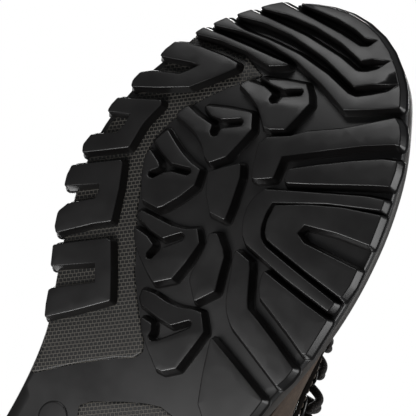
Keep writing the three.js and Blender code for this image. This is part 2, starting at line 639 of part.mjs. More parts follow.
// The lace is one cord: it comes down from the lateral top hook to the lowest eyelets and goes back up
// to the medial top hook, crossing itself between the rows with one strand high and the other low.
const LACE_OVER = OVER_OUT + 2 * GAP + 1.2 + LACE_RADIUS + 1;
const CROSS_LIFT = LACE_RADIUS + GAP;
const TONGUE_RISE = 3.2; // the strands arch over the tongue between the eyestays
// The lace's points at one row, in the fitting's frame: over the throat's edge, round the eyelet's middle
// or the hook's riser, and back over the edge.
const OVER_EDGE = 8;
function turnAt(row, side, downwards) {
  const way = downwards ? side : -side;
  const frame = fittingFrame(onSide(PLACES_U[row], side));
  const place = (x, y, z) => new THREE.Vector3(way * x, y, z).applyMatrix4(frame);
  if (row < EYELETS) {
    const apart = LACE_RADIUS + 2 * GAP;
    const height = LACE_OVER - OVER_OUT - GAP;
    const over = height + 0.6;
    return [place(apart, OVER_EDGE, over), place(0, 0, height), place(-apart, OVER_EDGE, over)];
  }
  const beside = HOOK.width / 2 + LACE_RADIUS + 6 * GAP;
  const height = HOOK.rise / 2;
  return [place(beside, OVER_EDGE, height + 1.2), place(beside, 2.2, height), place(0, -2, height),
    place(-beside, 2.2, height), place(-beside, OVER_EDGE, height + 1.2)];
}
function lacePath() {
  const lastRow = EYELETS + HOOKS - 1;
  const up = new THREE.Vector3(0, -0.55, 0.83);
  const route = [];
  for (let row = lastRow; row >= 0; row -= 1) route.push([row, true]);
  for (let row = 0; row <= lastRow; row += 1) route.push([row, false]);
  const points = [];
  let side = 1;
  route.forEach(([row, downwards], i) => {
    const turn = turnAt(row, side, downwards);
    if (i > 0) {
      const lift = row === 0 && !downwards ? 0 : (downwards ? 1 : -1) * CROSS_LIFT;
      points.push(points.at(-1).clone().lerp(turn[0], 0.5).addScaledVector(up, TONGUE_RISE + lift));
    }
    points.push(...turn);
    side = -side;
  });
  return new THREE.CatmullRomCurve3(points, false, 'catmullrom', 0.5);
}
function makeLace() {
  const sides = 4; // per half turn
  const section = new THREE.Shape();
  section.absarc(0, 0, LACE_RADIUS, 0, 2 * Math.PI);
  const settings = { steps: 144, curveSegments: sides, bevelEnabled: false, extrudePath: lacePath() };
  const geometry = new THREE.ExtrudeGeometry(section, settings);
  geometry.deleteAttribute('normal');
  geometry.deleteAttribute('uv');
  return mergeVertices(geometry, 1e-4);
}

// A webbing loop sewn to the back of the collar; a finger goes through it from the side.
function makePullLoop() {
  const { width, height, gap, strap, foot } = LOOP;
  const round = (half, low, high) => {
    const path = new THREE.Shape();
    path.moveTo(-half, low);
    path.lineTo(half, low);
    path.lineTo(half, high - half);
    path.absarc(0, high - half, half, 0, Math.PI);
    path.lineTo(-half, low);
    return path;
  };
  const outline = round(gap / 2 + strap, 0, height);
  outline.holes.push(round(gap / 2, strap, height - strap));
  const loop = new THREE.ExtrudeGeometry(outline, { depth: width, bevelEnabled: false, curveSegments: 8 });
  loop.translate(0, 0, -width / 2);
  const sideways = new THREE.Matrix4().makeBasis(
    new THREE.Vector3(0, 1, 0), new THREE.Vector3(0, 0, 1), new THREE.Vector3(1, 0, 0));
  loop.applyMatrix4(sideways);
  const collarBack = offLast(heelPlace, 0.9, SKIN_OUT - 0.5 + COLLAR_PUFF / 2);
  loop.translate(collarBack.x, collarBack.y + gap / 2 + strap + GAP, foot);
  return loop;
}

// ---------------------------------------------------------------- assemble
const RUBBER = 0x1b1a1a;
const NUBUCK = 0x5f5046;
const OVERLAY_COLOUR = 0x2a2624;

addPiece('outsole', makeOutsole(), RUBBER, 0.55);
addPiece('midsole', makeMidsole(), 0x3a3633, 0.6);
addPiece('steel_shank', makeShank(), 0x9aa0a6, 0.35, 1);
addPiece('puncture_plate', makeBoard(0, PLATE_STEEL, 1), 0xa8adb2, 0.35, 1);
addPiece('insole_board', makeBoard(PLATE_STEEL + GAP, BOARD, 1), 0xb49a72, 0.9);
addPiece('footbed', makeBoard(PLATE_STEEL + BOARD + 2 * GAP, FOOTBED, 2.6), 0x33373c, 0.9);
addPiece('lining', makeLining(), 0x3b3a3c, 0.95);
addPiece('steel_toe_cap', makeToeCap(), 0x9aa0a6, 0.35, 1);
addPiece('toe_cap_edge_pad', makeCapPad(), 0x202020, 0.7);
addPiece('heel_counter', makeCounter(), 0xc9c2b0, 0.6);
addPiece('vamp', makeVamp(), NUBUCK, 0.85);
addPiece('quarter_lateral', makeQuarter(3 + SEAM, heelPlace - SEAM), NUBUCK, 0.85);
addPiece('quarter_medial', makeQuarter(heelPlace + SEAM, 15 - SEAM), NUBUCK, 0.85);
addPiece('toe_bumper', makeToeBumper(), RUBBER, 0.6);
addPiece('heel_stabiliser', makeStabiliser(), RUBBER, 0.6);
addPiece('backstay', makeBackstay(), OVERLAY_COLOUR, 0.8);
addPiece('eyestay_lateral', makeEyestay(1), OVERLAY_COLOUR, 0.8);
addPiece('eyestay_medial', makeEyestay(-1), OVERLAY_COLOUR, 0.8);
addPiece('collar_pad', makeCollarPad(), OVERLAY_COLOUR, 0.85);
addPiece('tongue', makeTongue(), OVERLAY_COLOUR, 0.85);

for (const [side, word] of [[1, 'lateral'], [-1, 'medial']]) {
  PLACES_U.forEach((place, i) => {
    const isEyelet = i < EYELETS;
    const name = isEyelet ? `eyelet_${word}_${i + 1}` : `lace_hook_${word}_${i - EYELETS + 1}`;
    const geometry = isEyelet ? eyeletGeometry() : hookGeometry();
    const mesh = addPiece(name, geometry, 0x2b2b2b, 0.4, 0.9);
    mesh.matrixAutoUpdate = false;
    mesh.matrix.copy(fittingFrame(onSide(place, side)));
  });
}

addPiece('lace', makeLace(), 0x2b2724, 0.9);
addPiece('pull_loop', makePullLoop(), 0x2b2724, 0.9);

export default boot;
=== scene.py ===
import math

import bmesh
import bpy
import numpy as np
from mathutils import Matrix, Vector
from mathutils.geometry import delaunay_2d_cdt


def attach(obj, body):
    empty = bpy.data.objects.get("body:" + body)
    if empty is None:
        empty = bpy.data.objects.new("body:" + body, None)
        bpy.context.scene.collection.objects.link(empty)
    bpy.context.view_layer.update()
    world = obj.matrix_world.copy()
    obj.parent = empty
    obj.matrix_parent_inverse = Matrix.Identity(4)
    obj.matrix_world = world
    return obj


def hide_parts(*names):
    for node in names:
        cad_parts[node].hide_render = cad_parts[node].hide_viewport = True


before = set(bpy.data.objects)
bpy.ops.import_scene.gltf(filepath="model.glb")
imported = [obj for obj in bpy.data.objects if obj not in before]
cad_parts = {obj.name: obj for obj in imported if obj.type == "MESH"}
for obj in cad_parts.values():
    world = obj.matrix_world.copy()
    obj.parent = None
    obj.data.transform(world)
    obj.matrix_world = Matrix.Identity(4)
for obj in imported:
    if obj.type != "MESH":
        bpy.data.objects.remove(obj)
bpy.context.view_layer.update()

# ---------------------------------------------------------------- camera
# The boot is looked at from under its sole, from the lateral side, with the toe turned up and to the
# right. The view is long: a distant camera keeps the sole's two edges nearly parallel.
MM = 0.001
MIDDLE_X = 3.6      # the heel-to-toe line's x, and the y that its own zero lies at, in mm
MIDDLE_Y = -0.4
SIDEWAYS = math.radians(22)     # how far the camera has moved to the lateral side
ROLL = math.radians(30)         # how far the boot is turned in the view
CAMERA_AWAY = 650               # mm from the aim point on the ground
AIM = np.array([MIDDLE_X - 5.9, MIDDLE_Y - 71.6, 0.0])
FIELD = 12.34                   # degrees across the view

ahead = np.array([-math.sin(SIDEWAYS), 0, math.cos(SIDEWAYS)])
level = np.array([math.cos(SIDEWAYS), 0, math.sin(SIDEWAYS)])
toe_up = np.array([0, -1.0, 0])
to_right = math.sin(ROLL) * toe_up + math.cos(ROLL) * level
to_top = math.cos(ROLL) * toe_up - math.sin(ROLL) * level
camera_data = bpy.data.cameras.new("camera")
camera_data.angle = math.radians(FIELD)
camera_data.clip_start = 0.01
camera = bpy.data.objects.new("camera", camera_data)
turn = Matrix((to_right, to_top, -ahead)).transposed()
camera.matrix_world = Matrix.Translation(Vector((AIM - CAMERA_AWAY * ahead) * MM)) @ turn.to_4x4()
bpy.context.scene.collection.objects.link(camera)
bpy.context.scene.camera = camera


# ---------------------------------------------------------------- floor and light
# A pale studio floor that is seen from above only, so that the sole can be looked at from below, a white
# surround, and soft boxes: broad ones overhead for the upper, narrower ones below for the tread.
def linear(hex_colour):
    """sRGB hex to linear red, green, blue and alpha."""
    s = np.array([int(hex_colour[i:i + 2], 16) for i in (1, 3, 5)]) / 255
    return (*np.where(s <= 0.04045, s / 12.92, ((s + 0.055) / 1.055) ** 2.4), 1.0)


def node(tree, kind, links=None, **settings):
    """Adds a node, sets its properties and its unlinked inputs, and links the sockets named in links."""
    made = tree.nodes.new(kind)
    inputs = settings.pop("inputs", {})
    for name, value in settings.items():
        setattr(made, name, value)
    for name, value in inputs.items():
        made.inputs[name].default_value = value
    for name, socket in (links or {}).items():
        tree.links.new(socket, made.inputs[name])
    return made


def new_material(name):
    """A material with only its output, and its tree."""
    material = bpy.data.materials.new(name)
    material.use_nodes = True
    tree = material.node_tree
    tree.nodes.clear()
    return material, tree, tree.nodes.new("ShaderNodeOutputMaterial")


FLOOR_HALF = 3.0    # m


def make_floor():
    """A flat square, clear from below, hidden from all but the camera, and fading out 0.2 to 0.6 m away."""
    mesh = bpy.data.meshes.new("floor")
    corners = [(x * FLOOR_HALF, y * FLOOR_HALF, -0.0002) for x, y in ((-1, -1), (1, -1), (1, 1), (-1, 1))]
    mesh.from_pydata(corners, [], [(0, 1, 2, 3)])
    floor = bpy.data.objects.new("floor", mesh)
    bpy.context.scene.collection.objects.link(floor)
    material, tree, output = new_material("pale studio floor")
    paint = node(tree, "ShaderNodeBsdfPrincipled",
                 inputs={"Base Color": linear("#e9e8e5"), "Roughness": 0.85})
    clear = node(tree, "ShaderNodeBsdfTransparent")
    facing = node(tree, "ShaderNodeNewGeometry")
    coords = node(tree, "ShaderNodeTexCoord")
    reach = node(tree, "ShaderNodeVectorMath", {0: coords.outputs["Object"]}, operation="LENGTH")
    far = node(tree, "ShaderNodeMapRange", {"Value": reach.outputs["Value"]}, interpolation_type="SMOOTHSTEP",
               inputs={"From Min": 0.2, "From Max": 0.6})
    gone = node(tree, "ShaderNodeMath", {0: far.outputs[0], 1: facing.outputs["Backfacing"]},
                operation="MAXIMUM")
    mix = node(tree, "ShaderNodeMixShader", {0: gone.outputs[0], 1: paint.outputs[0], 2: clear.outputs[0]})
    tree.links.new(mix.outputs[0], output.inputs[0])
    mesh.materials.append(material)
    for kind in ("diffuse", "glossy", "transmission", "shadow", "volume_scatter"):
        setattr(floor, f"visible_{kind}", False)


SURROUND = 0.1     # the surround's brightness as the boot sees it


def make_surround():
    """White to the camera and a dimmer white to everything else."""
    world = bpy.data.worlds.new("studio")
    world.use_nodes = True
    tree = world.node_tree
    tree.nodes.clear()
    path = node(tree, "ShaderNodeLightPath")
    seen = node(tree, "ShaderNodeBackground", inputs={"Color": (1, 1, 1, 1), "Strength": 1.0})
    felt = node(tree, "ShaderNodeBackground", inputs={"Color": (0.95, 0.97, 1, 1), "Strength": SURROUND})
    mix = node(tree, "ShaderNodeMixShader",
               {0: path.outputs["Is Camera Ray"], 1: felt.outputs[0], 2: seen.outputs[0]})
    tree.links.new(mix.outputs[0], node(tree, "ShaderNodeOutputWorld").inputs[0])
    bpy.context.scene.world = world


def soft_box(name, direction, away, size, power, aim=(0, 0, 0.05)):
    """An area light at a distance from aim, turned to face it."""
    light = bpy.data.lights.new(name, "AREA")
    light.shape = "RECTANGLE"
    light.size, light.size_y = size
    light.energy = power
    lamp = bpy.data.objects.new(name, light)
    out = Vector(direction).normalized()
    lamp.location = Vector(aim) + out * away
    lamp.rotation_euler = out.to_track_quat("Z", "Y").to_euler()
    lamp.visible_camera = False
    bpy.context.scene.collection.objects.link(lamp)


make_floor()
make_surround()
soft_box("overhead", (-0.55, -0.25, 1.0), 1.6, (1.0, 1.0), 34)
soft_box("lateral side", (1.0, -0.35, 0.75), 1.4, (1.0, 0.9), 7)
soft_box("medial side", (-1.0, 0.4, 0.6), 1.5, (0.9, 0.9), 7)
soft_box("behind", (0.1, 1.0, 0.5), 1.5, (0.9, 0.7), 10)
SOLE_AIM = tuple(AIM * MM)
WAIST_AIM = (0.115, 0.06, 0.0)
soft_box("below toe", (-0.30, -0.66, -0.69), 1.1, (0.5, 0.25), 2.2, SOLE_AIM)
soft_box("below waist", (-0.29, 0.28, -0.92), 0.34, (0.2, 0.12), 1.15, WAIST_AIM)
bpy.context.scene.view_settings.view_transform = "Standard"

# ---------------------------------------------------------------- outsole
# One moulding of black nitrile rubber, cemented under the midsole: a plate with 5 mm lugs. The lugs have
# drafted walls, a small radius at the ground edge and a fillet at the foot, as the mould leaves them.
LUG_HEIGHT = 5.0
PLATE = 4.5
SPRING_START = -80.0
SPRING_RADIUS = 205.0
DRAFT = 0.75        # how much wider a lug is at its foot, on each side
CORNER = 0.9        # usual radius of a lug's corners
FACE_GRID = 3.0     # spacing of the points that carry a face's curve
BLACK_RUBBER = "#141313"


def spring(y):
    """Height of the ground surface of the sole: flat behind the ball, a parabola up to the toe."""
    return np.maximum(0, SPRING_START - y) ** 2 / (2 * SPRING_RADIUS)


def rounded(points, radius=CORNER, steps=4):
    """An outline with its convex corners turned into arcs. A point is (x, y) or (x, y, its own radius).
    Each arc runs between the places on its two sides that are as far from the corner as the radius and
    the turn ask for, or half a side where that is less; a hollow corner without a radius stays sharp."""
    corner = np.array([p[:2] for p in points], float)
    own = np.array([p[2] if len(p) > 2 else -1 for p in points], float)
    if area(corner) < 0:
        corner, own = corner[::-1], own[::-1]
    before = np.roll(corner, 1, 0) - corner
    after = np.roll(corner, -1, 0) - corner
    length_before = np.linalg.norm(before, axis=1)
    length_after = np.linalg.norm(after, axis=1)
    before /= length_before[:, None]
    after /= length_after[:, None]
    hollow = before[:, 0] * after[:, 1] - before[:, 1] * after[:, 0] > 0
    radii = np.where(own >= 0, own, np.where(hollow, 0.0, radius))
    half_angle = 0.5 * np.arccos(np.clip((before * after).sum(1), -0.9999, 0.9999))
    back = np.minimum(radii / np.tan(half_angle), 0.49 * np.minimum(length_before, length_after))
    share = np.linspace(0, 1, steps + 1)[None, :, None]
    start = (corner + before * back[:, None])[:, None]
    end = (corner + after * back[:, None])[:, None]
    middle = corner[:, None]
    curve = (1 - share) ** 2 * start + 2 * share * (1 - share) * middle + share ** 2 * end
    curve = curve.reshape(-1, 2)
    keep = np.linalg.norm(curve - np.roll(curve, 1, 0), axis=1) > 0.03
    return curve[keep]


def area(points):
    """Signed area of an outline, positive where it runs anticlockwise."""
    x, y = points[:, 0], points[:, 1]
    return 0.5 * np.sum(x * np.roll(y, -1) - y * np.roll(x, -1))


def grown(points, distance):
    """An outline moved outwards by a distance, each corner along its mitre."""
    side = np.roll(points, -1, 0) - points
    side /= np.linalg.norm(side, axis=1)[:, None]
    out = np.stack([side[:, 1], -side[:, 0]], 1)
    mitre = out + np.roll(out, 1, 0)
    mitre /= np.maximum(0.35, 1 + (out * np.roll(out, 1, 0)).sum(1))[:, None]
    return points + distance * mitre


def inside(places, outline):
    """Which places lie in an outline, by counting the sides that a ray to the right crosses."""
    x, y = places[:, 0:1], places[:, 1:2]
    x0, y0 = outline[:, 0], outline[:, 1]
    x1, y1 = np.roll(x0, -1), np.roll(y0, -1)
    spans = (y0 > y) != (y1 > y)
    with np.errstate(divide="ignore", invalid="ignore"):
        crossing = x0 + (y - y0) * (x1 - x0) / (y1 - y0)
    return (spans & (x < crossing)).sum(1) % 2 == 1


def filled(outline, spacing):
    """Triangles over an outline, with a grid of inner points that stays clear of the edge."""
    low, high = outline.min(0), outline.max(0)
    gx, gy = np.meshgrid(np.arange(low[0], high[0], spacing), np.arange(low[1], high[1], spacing))
    grid = np.stack([gx.ravel(), gy.ravel()], 1)
    grid = grid[inside(grid, grown(outline, -0.4 * spacing))] if len(grid) else grid
    gap = np.linalg.norm(grid[:, None] - outline[None], axis=2).min(1) if len(grid) else np.zeros(0)
    grid = grid[gap > 0.35 * spacing]
    count = len(outline)
    points = [Vector(p) for p in np.vstack([outline, grid])]
    loop = [(i, (i + 1) % count) for i in range(count)]
    found = delaunay_2d_cdt(points, loop, [], 1, 1e-6)
    places = np.array([tuple(p) for p in found[0]])
    return places, np.array([tuple(f) for f in found[2]], int)


class Pieces:
    """Gathers blocks of points and faces that are to be one mesh."""

    def __init__(self):
        self.points, self.faces, self.count = [], [], 0

    def add(self, points, faces):
        self.points.append(points)
        self.faces += [tuple(int(i) + self.count for i in face) for face in faces]
        self.count += len(points)

    def build(self, name, material, smooth_shade=True):
        """One object in metres, at the boot's place in the frame."""
        mesh = bpy.data.meshes.new(name)
        points = (np.vstack(self.points) + [MIDDLE_X, MIDDLE_Y, 0]) * MM
        mesh.from_pydata(points.tolist(), [], self.faces)
        mesh.validate()
        shape = bmesh.new()
        shape.from_mesh(mesh)
        bmesh.ops.recalc_face_normals(shape, faces=shape.faces)
        shape.to_mesh(mesh)
        shape.free()
        mesh.polygons.foreach_set("use_smooth", np.full(len(mesh.polygons), smooth_shade))
        made = bpy.data.objects.new(name, mesh)
        bpy.context.scene.collection.objects.link(made)
        mesh.materials.append(material)
        return made


def add_block(pieces, outline, profile, lift, spacing=FACE_GRID):
    """A closed block: the outline is grown by each profile step's first number and put at the height that
    lift gives for its second; both ends are filled. The first step is the block's underside."""
    rings = [grown(outline, step[0]) for step in profile]
    count = len(outline)
    walls = np.vstack([np.column_stack([ring, lift(ring[:, 0], ring[:, 1], step[1])])
                       for ring, step in zip(rings, profile)])
    i = np.arange(count)
    j = (i + 1) % count
    faces = []
    for k in range(len(rings) - 1):
        a, b = k * count, (k + 1) * count
        faces += np.column_stack([a + i, a + j, b + j, b + i]).tolist()
    total = [walls]
    size = len(walls)
    for k, flip in ((0, True), (len(rings) - 1, False)):
        places, triangles = filled(rings[k], spacing)
        order = np.empty(len(places), int)
        gap = np.linalg.norm(places[:, None] - rings[k][None], axis=2)
        on_ring = gap.min(1) < 1e-4
        order[on_ring] = k * count + gap.argmin(1)[on_ring]
        order[~on_ring] = size + np.arange((~on_ring).sum())
        inner = places[~on_ring]
        total.append(np.column_stack([inner, lift(inner[:, 0], inner[:, 1], profile[k][1])]))
        size += len(inner)
        turned = order[triangles]
        corners = places[triangles]
        spin = np.cross(corners[:, 1] - corners[:, 0], corners[:, 2] - corners[:, 0])
        wrong = (spin > 0) == flip
        turned[wrong] = turned[wrong][:, ::-1]
        faces += turned.tolist()
    pieces.add(np.vstack(total), faces)


LUG_PROFILE = [(-0.50, 0.0), (-0.34, 0.004), (-0.10, 0.02), (0.0, 0.075), (DRAFT, 0.88), (DRAFT + 0.2, 0.96),
               (DRAFT + 0.75, 1.015), (DRAFT + 0.6, 1.25)]


def lug_lift(crease=None, slope=0.16):
    """Heights of a lug from its face (0) to its foot (1). Beyond the crease the face tilts off the ground."""
    def lift(x, y, share):
        face = 0.0
        if crease is not None:
            (xa, ya), (xb, yb) = crease
            away = ((xb - xa) * (y - ya) - (yb - ya) * (x - xa)) / math.hypot(xb - xa, yb - ya)
            face = np.clip(slope * away, 0, 3.4)
        return spring(y) + face + (LUG_HEIGHT - face) * share
    return lift


SOLE_EDGE = [
    (0, -153), (15, -150.5), (27, -142), (36, -129), (43.5, -114), (48.5, -97), (50.8, -80), (51, -62),
    (49, -44), (45, -25), (40.5, -4), (37.5, 18), (38, 42), (41, 66), (43, 92), (43, 115), (38.5, 135),
    (26, 148.5), (2, 153.5), (-20, 149), (-34, 134), (-40, 113), (-40.5, 88), (-37.5, 62), (-35, 40),
    (-34.5, 18), (-36.5, -2), (-41.5, -20), (-48.5, -37), (-54.5, -55), (-57.5, -75), (-55, -95),
    (-50, -111), (-42.5, -125.5), (-32, -139.5), (-18, -149.5)]


def along_closed(table, u):
    """A uniform Catmull-Rom curve through a closed row of points, at u = 0 .. number of points."""
    table = np.asarray(table, float)
    whole = np.floor(u).astype(int)
    w = (u - whole)[..., None]
    p0, p1, p2, p3 = (table[(whole + k) % len(table)] for k in (-1, 0, 1, 2))
    t0, t1 = 0.5 * (p2 - p0), 0.5 * (p3 - p1)
    return ((2 * p1 - 2 * p2 + t0 + t1) * w ** 3 + (-3 * p1 + 3 * p2 - 2 * t0 - t1) * w ** 2 + t0 * w + p1)


sole_edge = along_closed(SOLE_EDGE, np.arange(0, len(SOLE_EDGE), 0.2))

TOE_COMB = [
    (33.3, -132.5), (29.5, -138.5, 9), (24, -144, 9), (18, -148.5, 9), (12, -151.5, 9), (5, -153.4, 9),
    (-2, -153.9, 9), (-9, -152.8, 9), (-15, -150.8, 6), (-19.8, -148.7),
    (-12, -149.5, 9), (-4, -150, 9), (3, -149.6, 6), (8, -148.4, 2), (12.3, -149.7), (11, -146.5, 2),
    (8.5, -145.3, 2), (0, -146.1, 9), (-11, -146.3, 9), (-24.8, -146.4),
    (-28, -143.6, 5), (-30.8, -140.6), (-20, -143.2, 20), (-9.5, -143.9, 20), (2, -143, 20), (12, -140.5, 1),
    (15, -143, 1), (20.6, -145.4), (18.5, -141, 3), (16, -138.5, 2), (13, -137, 3), (5, -138.7, 9),
    (-10, -139.8, 20), (-20, -139.4, 20), (-32.6, -138.8),
    (-36.9, -134), (-26, -136.7, 20), (-15, -137.3, 20), (0, -135.6, 20), (15.3, -131.5, 1), (20, -135, 6),
    (27.8, -139.3), (26, -135.5, 3), (22, -132, 4), (18, -129, 1.5), (15, -128.7, 2), (5, -131.3, 9),
    (-8, -132.9, 20), (-20, -132.5, 20), (-30, -131.4, 9), (-38.4, -132.2),
    (-42, -127.2), (-31, -130.2, 20), (-20, -131, 20), (-8, -130.2, 20), (5, -127, 20), (17, -122.7, 1),
    (25, -127.2, 9)]
MEDIAL_BLOCKS = [
    [(-43.4, -125.3), (-35, -126.2, 9), (-25, -127, 9), (-15, -127.6, 9), (-7, -128.3), (-14.5, -124),
     (-25, -124.7, 9), (-35, -124, 9), (-45.3, -121.5)],
    [(-49.3, -116), (-46, -117.4, 6), (-40, -118.9, 9), (-30, -120, 9), (-24.6, -120), (-24.2, -118),
     (-30, -110.5, 20), (-35, -104.4), (-45, -98.9, 30), (-54, -94.6), (-54.9, -97, 4), (-54, -100.8, 2),
     (-50.4, -103.4), (-41, -106.9), (-38.5, -110), (-36.8, -112.6), (-39.5, -112.3), (-51.2, -108.8),
     (-50.8, -112, 4)],
    [(-56.2, -89.2), (-41.3, -96), (-40.4, -94.5), (-42.6, -86, 20), (-42.7, -76), (-57.3, -66.2),
     (-58.7, -69, 3), (-57.9, -73.4), (-55, -75.4), (-49.5, -78.6), (-48.7, -82, 3), (-48.8, -86.4),
     (-57, -82.9), (-57, -86, 5)],
    [(-58.4, -60.9), (-43, -71.1), (-41.8, -70.3), (-38.3, -62.5, 20), (-34.4, -51), (-40, -47, 20),
     (-50.6, -37.6), (-52.4, -39.5, 3), (-54.2, -44.5, 3), (-52.4, -48.7), (-44.4, -55), (-44.5, -58, 2),
     (-45.7, -59.9), (-56.9, -53), (-58.2, -57, 5)],
    [(-49.4, -33.7), (-48, -34.8), (-33, -45.3), (-31, -45.3), (-25, -36, 30), (-19.9, -27.6), (-30, -18, 20),
     (-38.3, -10.7), (-40.5, -15, 4), (-42.3, -19.6), (-41.5, -20.9), (-28.7, -30.3), (-32, -35.8),
     (-46, -26.8)],
]
# Arrowheads: an outline with its bird's-foot slit, and the crease where the face starts to lift.
ARROWS = [
    ([(-15.3, -119.3), (-14.5, -120), (-7, -122.8, 9), (0, -125), (3.5, -122, 4), (5.6, -119.2),
      (4.6, -113.3, 20), (3.3, -107.4), (-1.5, -104.9), (-4, -104.6), (-7, -107.5, 9), (-10, -110, 9),
      (-15, -112, 9), (-20.4, -113.5), (-18.7, -116.5), (-12, -117.3), (-7.8, -116.4), (-7.7, -114, 0.9),
      (-6.2, -113, 0.9), (-4.6, -114.2, 0.9), (-4.4, -116.9), (1.2, -120.4, 0.9), (0.7, -122.2, 0.9),
      (-0.6, -122.5, 0.9), (-5.6, -119.4), (-10.5, -118.9)], ((5, -117.5), (-14, -111))),
    ([(-27.8, -101.5), (-20, -104.6, 20), (-12, -107), (-10.4, -107.2), (-7, -102), (-8.2, -96, 20),
      (-9.7, -89.6), (-14, -84.9), (-17, -86.3, 4), (-20, -89.5, 9), (-25, -92, 9), (-30, -93.1, 9),
      (-34.4, -93.6), (-33.8, -96.5, 9), (-32.6, -98.9), (-27.5, -97.7), (-20.4, -97), (-19.6, -94.5, 0.9),
      (-18.2, -93.3, 0.9), (-16.6, -94.5, 0.9), (-17, -97.4), (-11.1, -101.4, 0.9), (-11.5, -103.2, 0.9),
      (-13, -103.6, 0.9), (-18.6, -100.2), (-23, -99.6)], ((-7.5, -100.5), (-26, -90.5))),
    ([(-36.8, -82.6), (-35, -88.3), (-30, -85.8, 20), (-25, -83.6, 20), (-20, -82.2, 9), (-15.8, -81.8),
      (-14.4, -76), (-17, -70, 20), (-20.6, -64.3, 3), (-22.2, -62.8), (-28.8, -62.6), (-33, -69, 20),
      (-36.4, -75.5, 9), (-36.9, -79.5), (-31, -77), (-29.2, -75.6), (-31.9, -72.4, 0.9),
      (-31.2, -70.8, 0.9), (-29.4, -71, 0.9), (-27, -74.6), (-24.8, -76.2), (-19, -77.6, 0.9),
      (-18, -79.3, 0.9), (-19.4, -80.4, 0.9), (-26.5, -78.6), (-32, -80.4)], ((-14.3, -77), (-34, -68))),
    ([(-29, -57.5), (-28, -59.6), (-15, -60.3, 9), (-10, -61.6, 9), (-6.3, -63.9), (-2.6, -60), (-3, -52, 20),
      (-4.4, -44.7), (-9.7, -40.3), (-14, -42.5, 9), (-20, -46.3, 9), (-24, -49.4, 9), (-27.2, -53.6),
      (-20.5, -53), (-16.8, -51.5), (-17.4, -48, 0.9), (-16.4, -46.4, 0.9), (-14.8, -46.9, 0.9),
      (-13.4, -52), (-8.6, -57.6, 0.9), (-8.6, -59.5, 0.9), (-10.4, -59.9, 0.9), (-15.2, -54.9),
      (-21, -55.2)], ((-2.8, -54.5), (-22, -45))),
    ([(-12.2, -33.8), (-12.8, -36.6), (-8, -37.5, 9), (-2, -37.1, 20), (3, -38, 9), (7, -39.6, 6),
      (10.4, -40.2), (15, -35), (14.4, -29, 20), (13.1, -19.7), (9, -16.2), (6.5, -16), (0, -20.5, 20),
      (-5, -24.6, 9), (-8.3, -28.6), (-3, -28.4), (-1.6, -26.2), (-1.6, -24.2, 0.9), (0, -23.2, 0.9),
      (2, -24.4), (8.8, -32.4), (10, -34.2, 0.9), (9.2, -35.8, 0.9), (8, -35.6), (3.4, -31), (-2, -31),
      (-10, -31.8)], ((15, -34.5), (-6, -23.5))),
]
SMALL_LUGS = [
    [(-7, -87.7), (-4, -90.4), (-1.6, -86.2, 6), (0.5, -77, 20), (1.5, -70.7), (-4.8, -70.4),
     (-9.6, -75.6, 6), (-12.8, -82.2)],
    [(1.5, -65.8), (6.3, -62.1), (8, -60), (9.4, -54.6, 20), (11.3, -48.5), (6.8, -42.2), (6, -42.4),
     (1, -47.5, 2), (0.3, -50, 6), (0.2, -60, 9), (-1.3, -64.4)],
]
LATERAL_BARS = [
    [(36.6, -127.3), (38.6, -125, 9), (40.9, -120.8), (39, -120.6, 2), (30, -115.2, 30), (20, -108, 30),
     (7.5, -99), (8.3, -95, 9), (8.9, -91.1), (3.5, -87.7), (2, -87.7), (0, -92, 20), (-2.3, -98.9),
     (-1, -102.3), (6, -106.5), (10, -110.5, 6), (20, -117, 30), (33.8, -129)],
    [(11.7, -96.4), (20, -102.5, 30), (30, -109.5, 30), (38, -114.5, 9), (42.9, -116.4), (44.4, -112.7, 9),
     (45.6, -107.5), (40, -104.9, 30), (20, -94.7, 30), (14, -91.8), (12.4, -92.7)],
    [(46.5, -103), (40, -101, 20), (20, -92, 30), (8.2, -86.6), (6.4, -83.3, 9), (5.9, -79, 9),
     (6.9, -74, 9), (9.1, -69.9, 3), (12, -67.4, 4), (30, -64, 30), (49.1, -61.7), (49.6, -65.5),
     (30, -68.3, 30), (18.5, -70.2, 9), (15.8, -72, 4), (14, -75, 9), (13.1, -80, 9), (13.2, -83.8),
     (30, -92.4, 30), (47.3, -99.2)],
    [(14.3, -83.6), (24, -89.1, 30), (35, -93.9, 30), (48.3, -98), (50, -88.6, 9), (50.2, -87.2),
     (38, -85.4), (27, -82.6), (26.2, -79.2), (30, -77.5), (50.7, -78.6), (51.2, -73, 9), (50.6, -67.6),
     (35, -69.4, 30), (20, -71.8, 9), (17.6, -72.3), (16, -74), (14.6, -77.5, 9)],
    [(22.6, -62.9), (30, -61.8, 30), (40, -60.4, 30), (50.4, -59.3), (49.9, -46), (48.5, -45.4),
     (40, -49, 30), (26, -54.3), (24, -57, 4), (22.6, -60.5, 9)],
    [(10.1, -64.3), (16.4, -63.2), (18, -61, 4), (20, -57, 9), (22.6, -52, 9), (24.4, -49.2, 3),
     (30, -47.4, 9), (40, -43.5, 30), (48.6, -39.9), (48, -36, 9), (46.6, -32), (40, -34.5, 30),
     (30, -38.3, 30), (22, -41.3, 9), (18, -44.8, 4), (16, -48, 9), (14.7, -51, 9), (12.5, -57, 20),
     (10.5, -61.4, 9)],
    [(17.8, -35), (30, -31, 30), (44.9, -25.9), (43.5, -16, 20), (41.5, -7.5), (33, -7), (28.3, -11.5),
     (25.7, -13.6), (21.8, -23, 30)],
]
HEEL_START, HEEL_PITCH, HEEL_BLOCK, HEEL_INNER, HEEL_MIDDLE = 52.0, 25.0, 21.5, 17.0, 2.0


def half_width(y, side):
    """Distance from the heel's middle line to the sole's edge on one side at y."""
    edge = sole_edge[(sole_edge[:, 0] - HEEL_MIDDLE) * side > 0]
    edge = edge[np.abs(edge[:, 1]) < 151]
    order = np.argsort(edge[:, 1])
    return float(np.interp(y, edge[order, 1], np.abs(edge[order, 0] - HEEL_MIDDLE)))


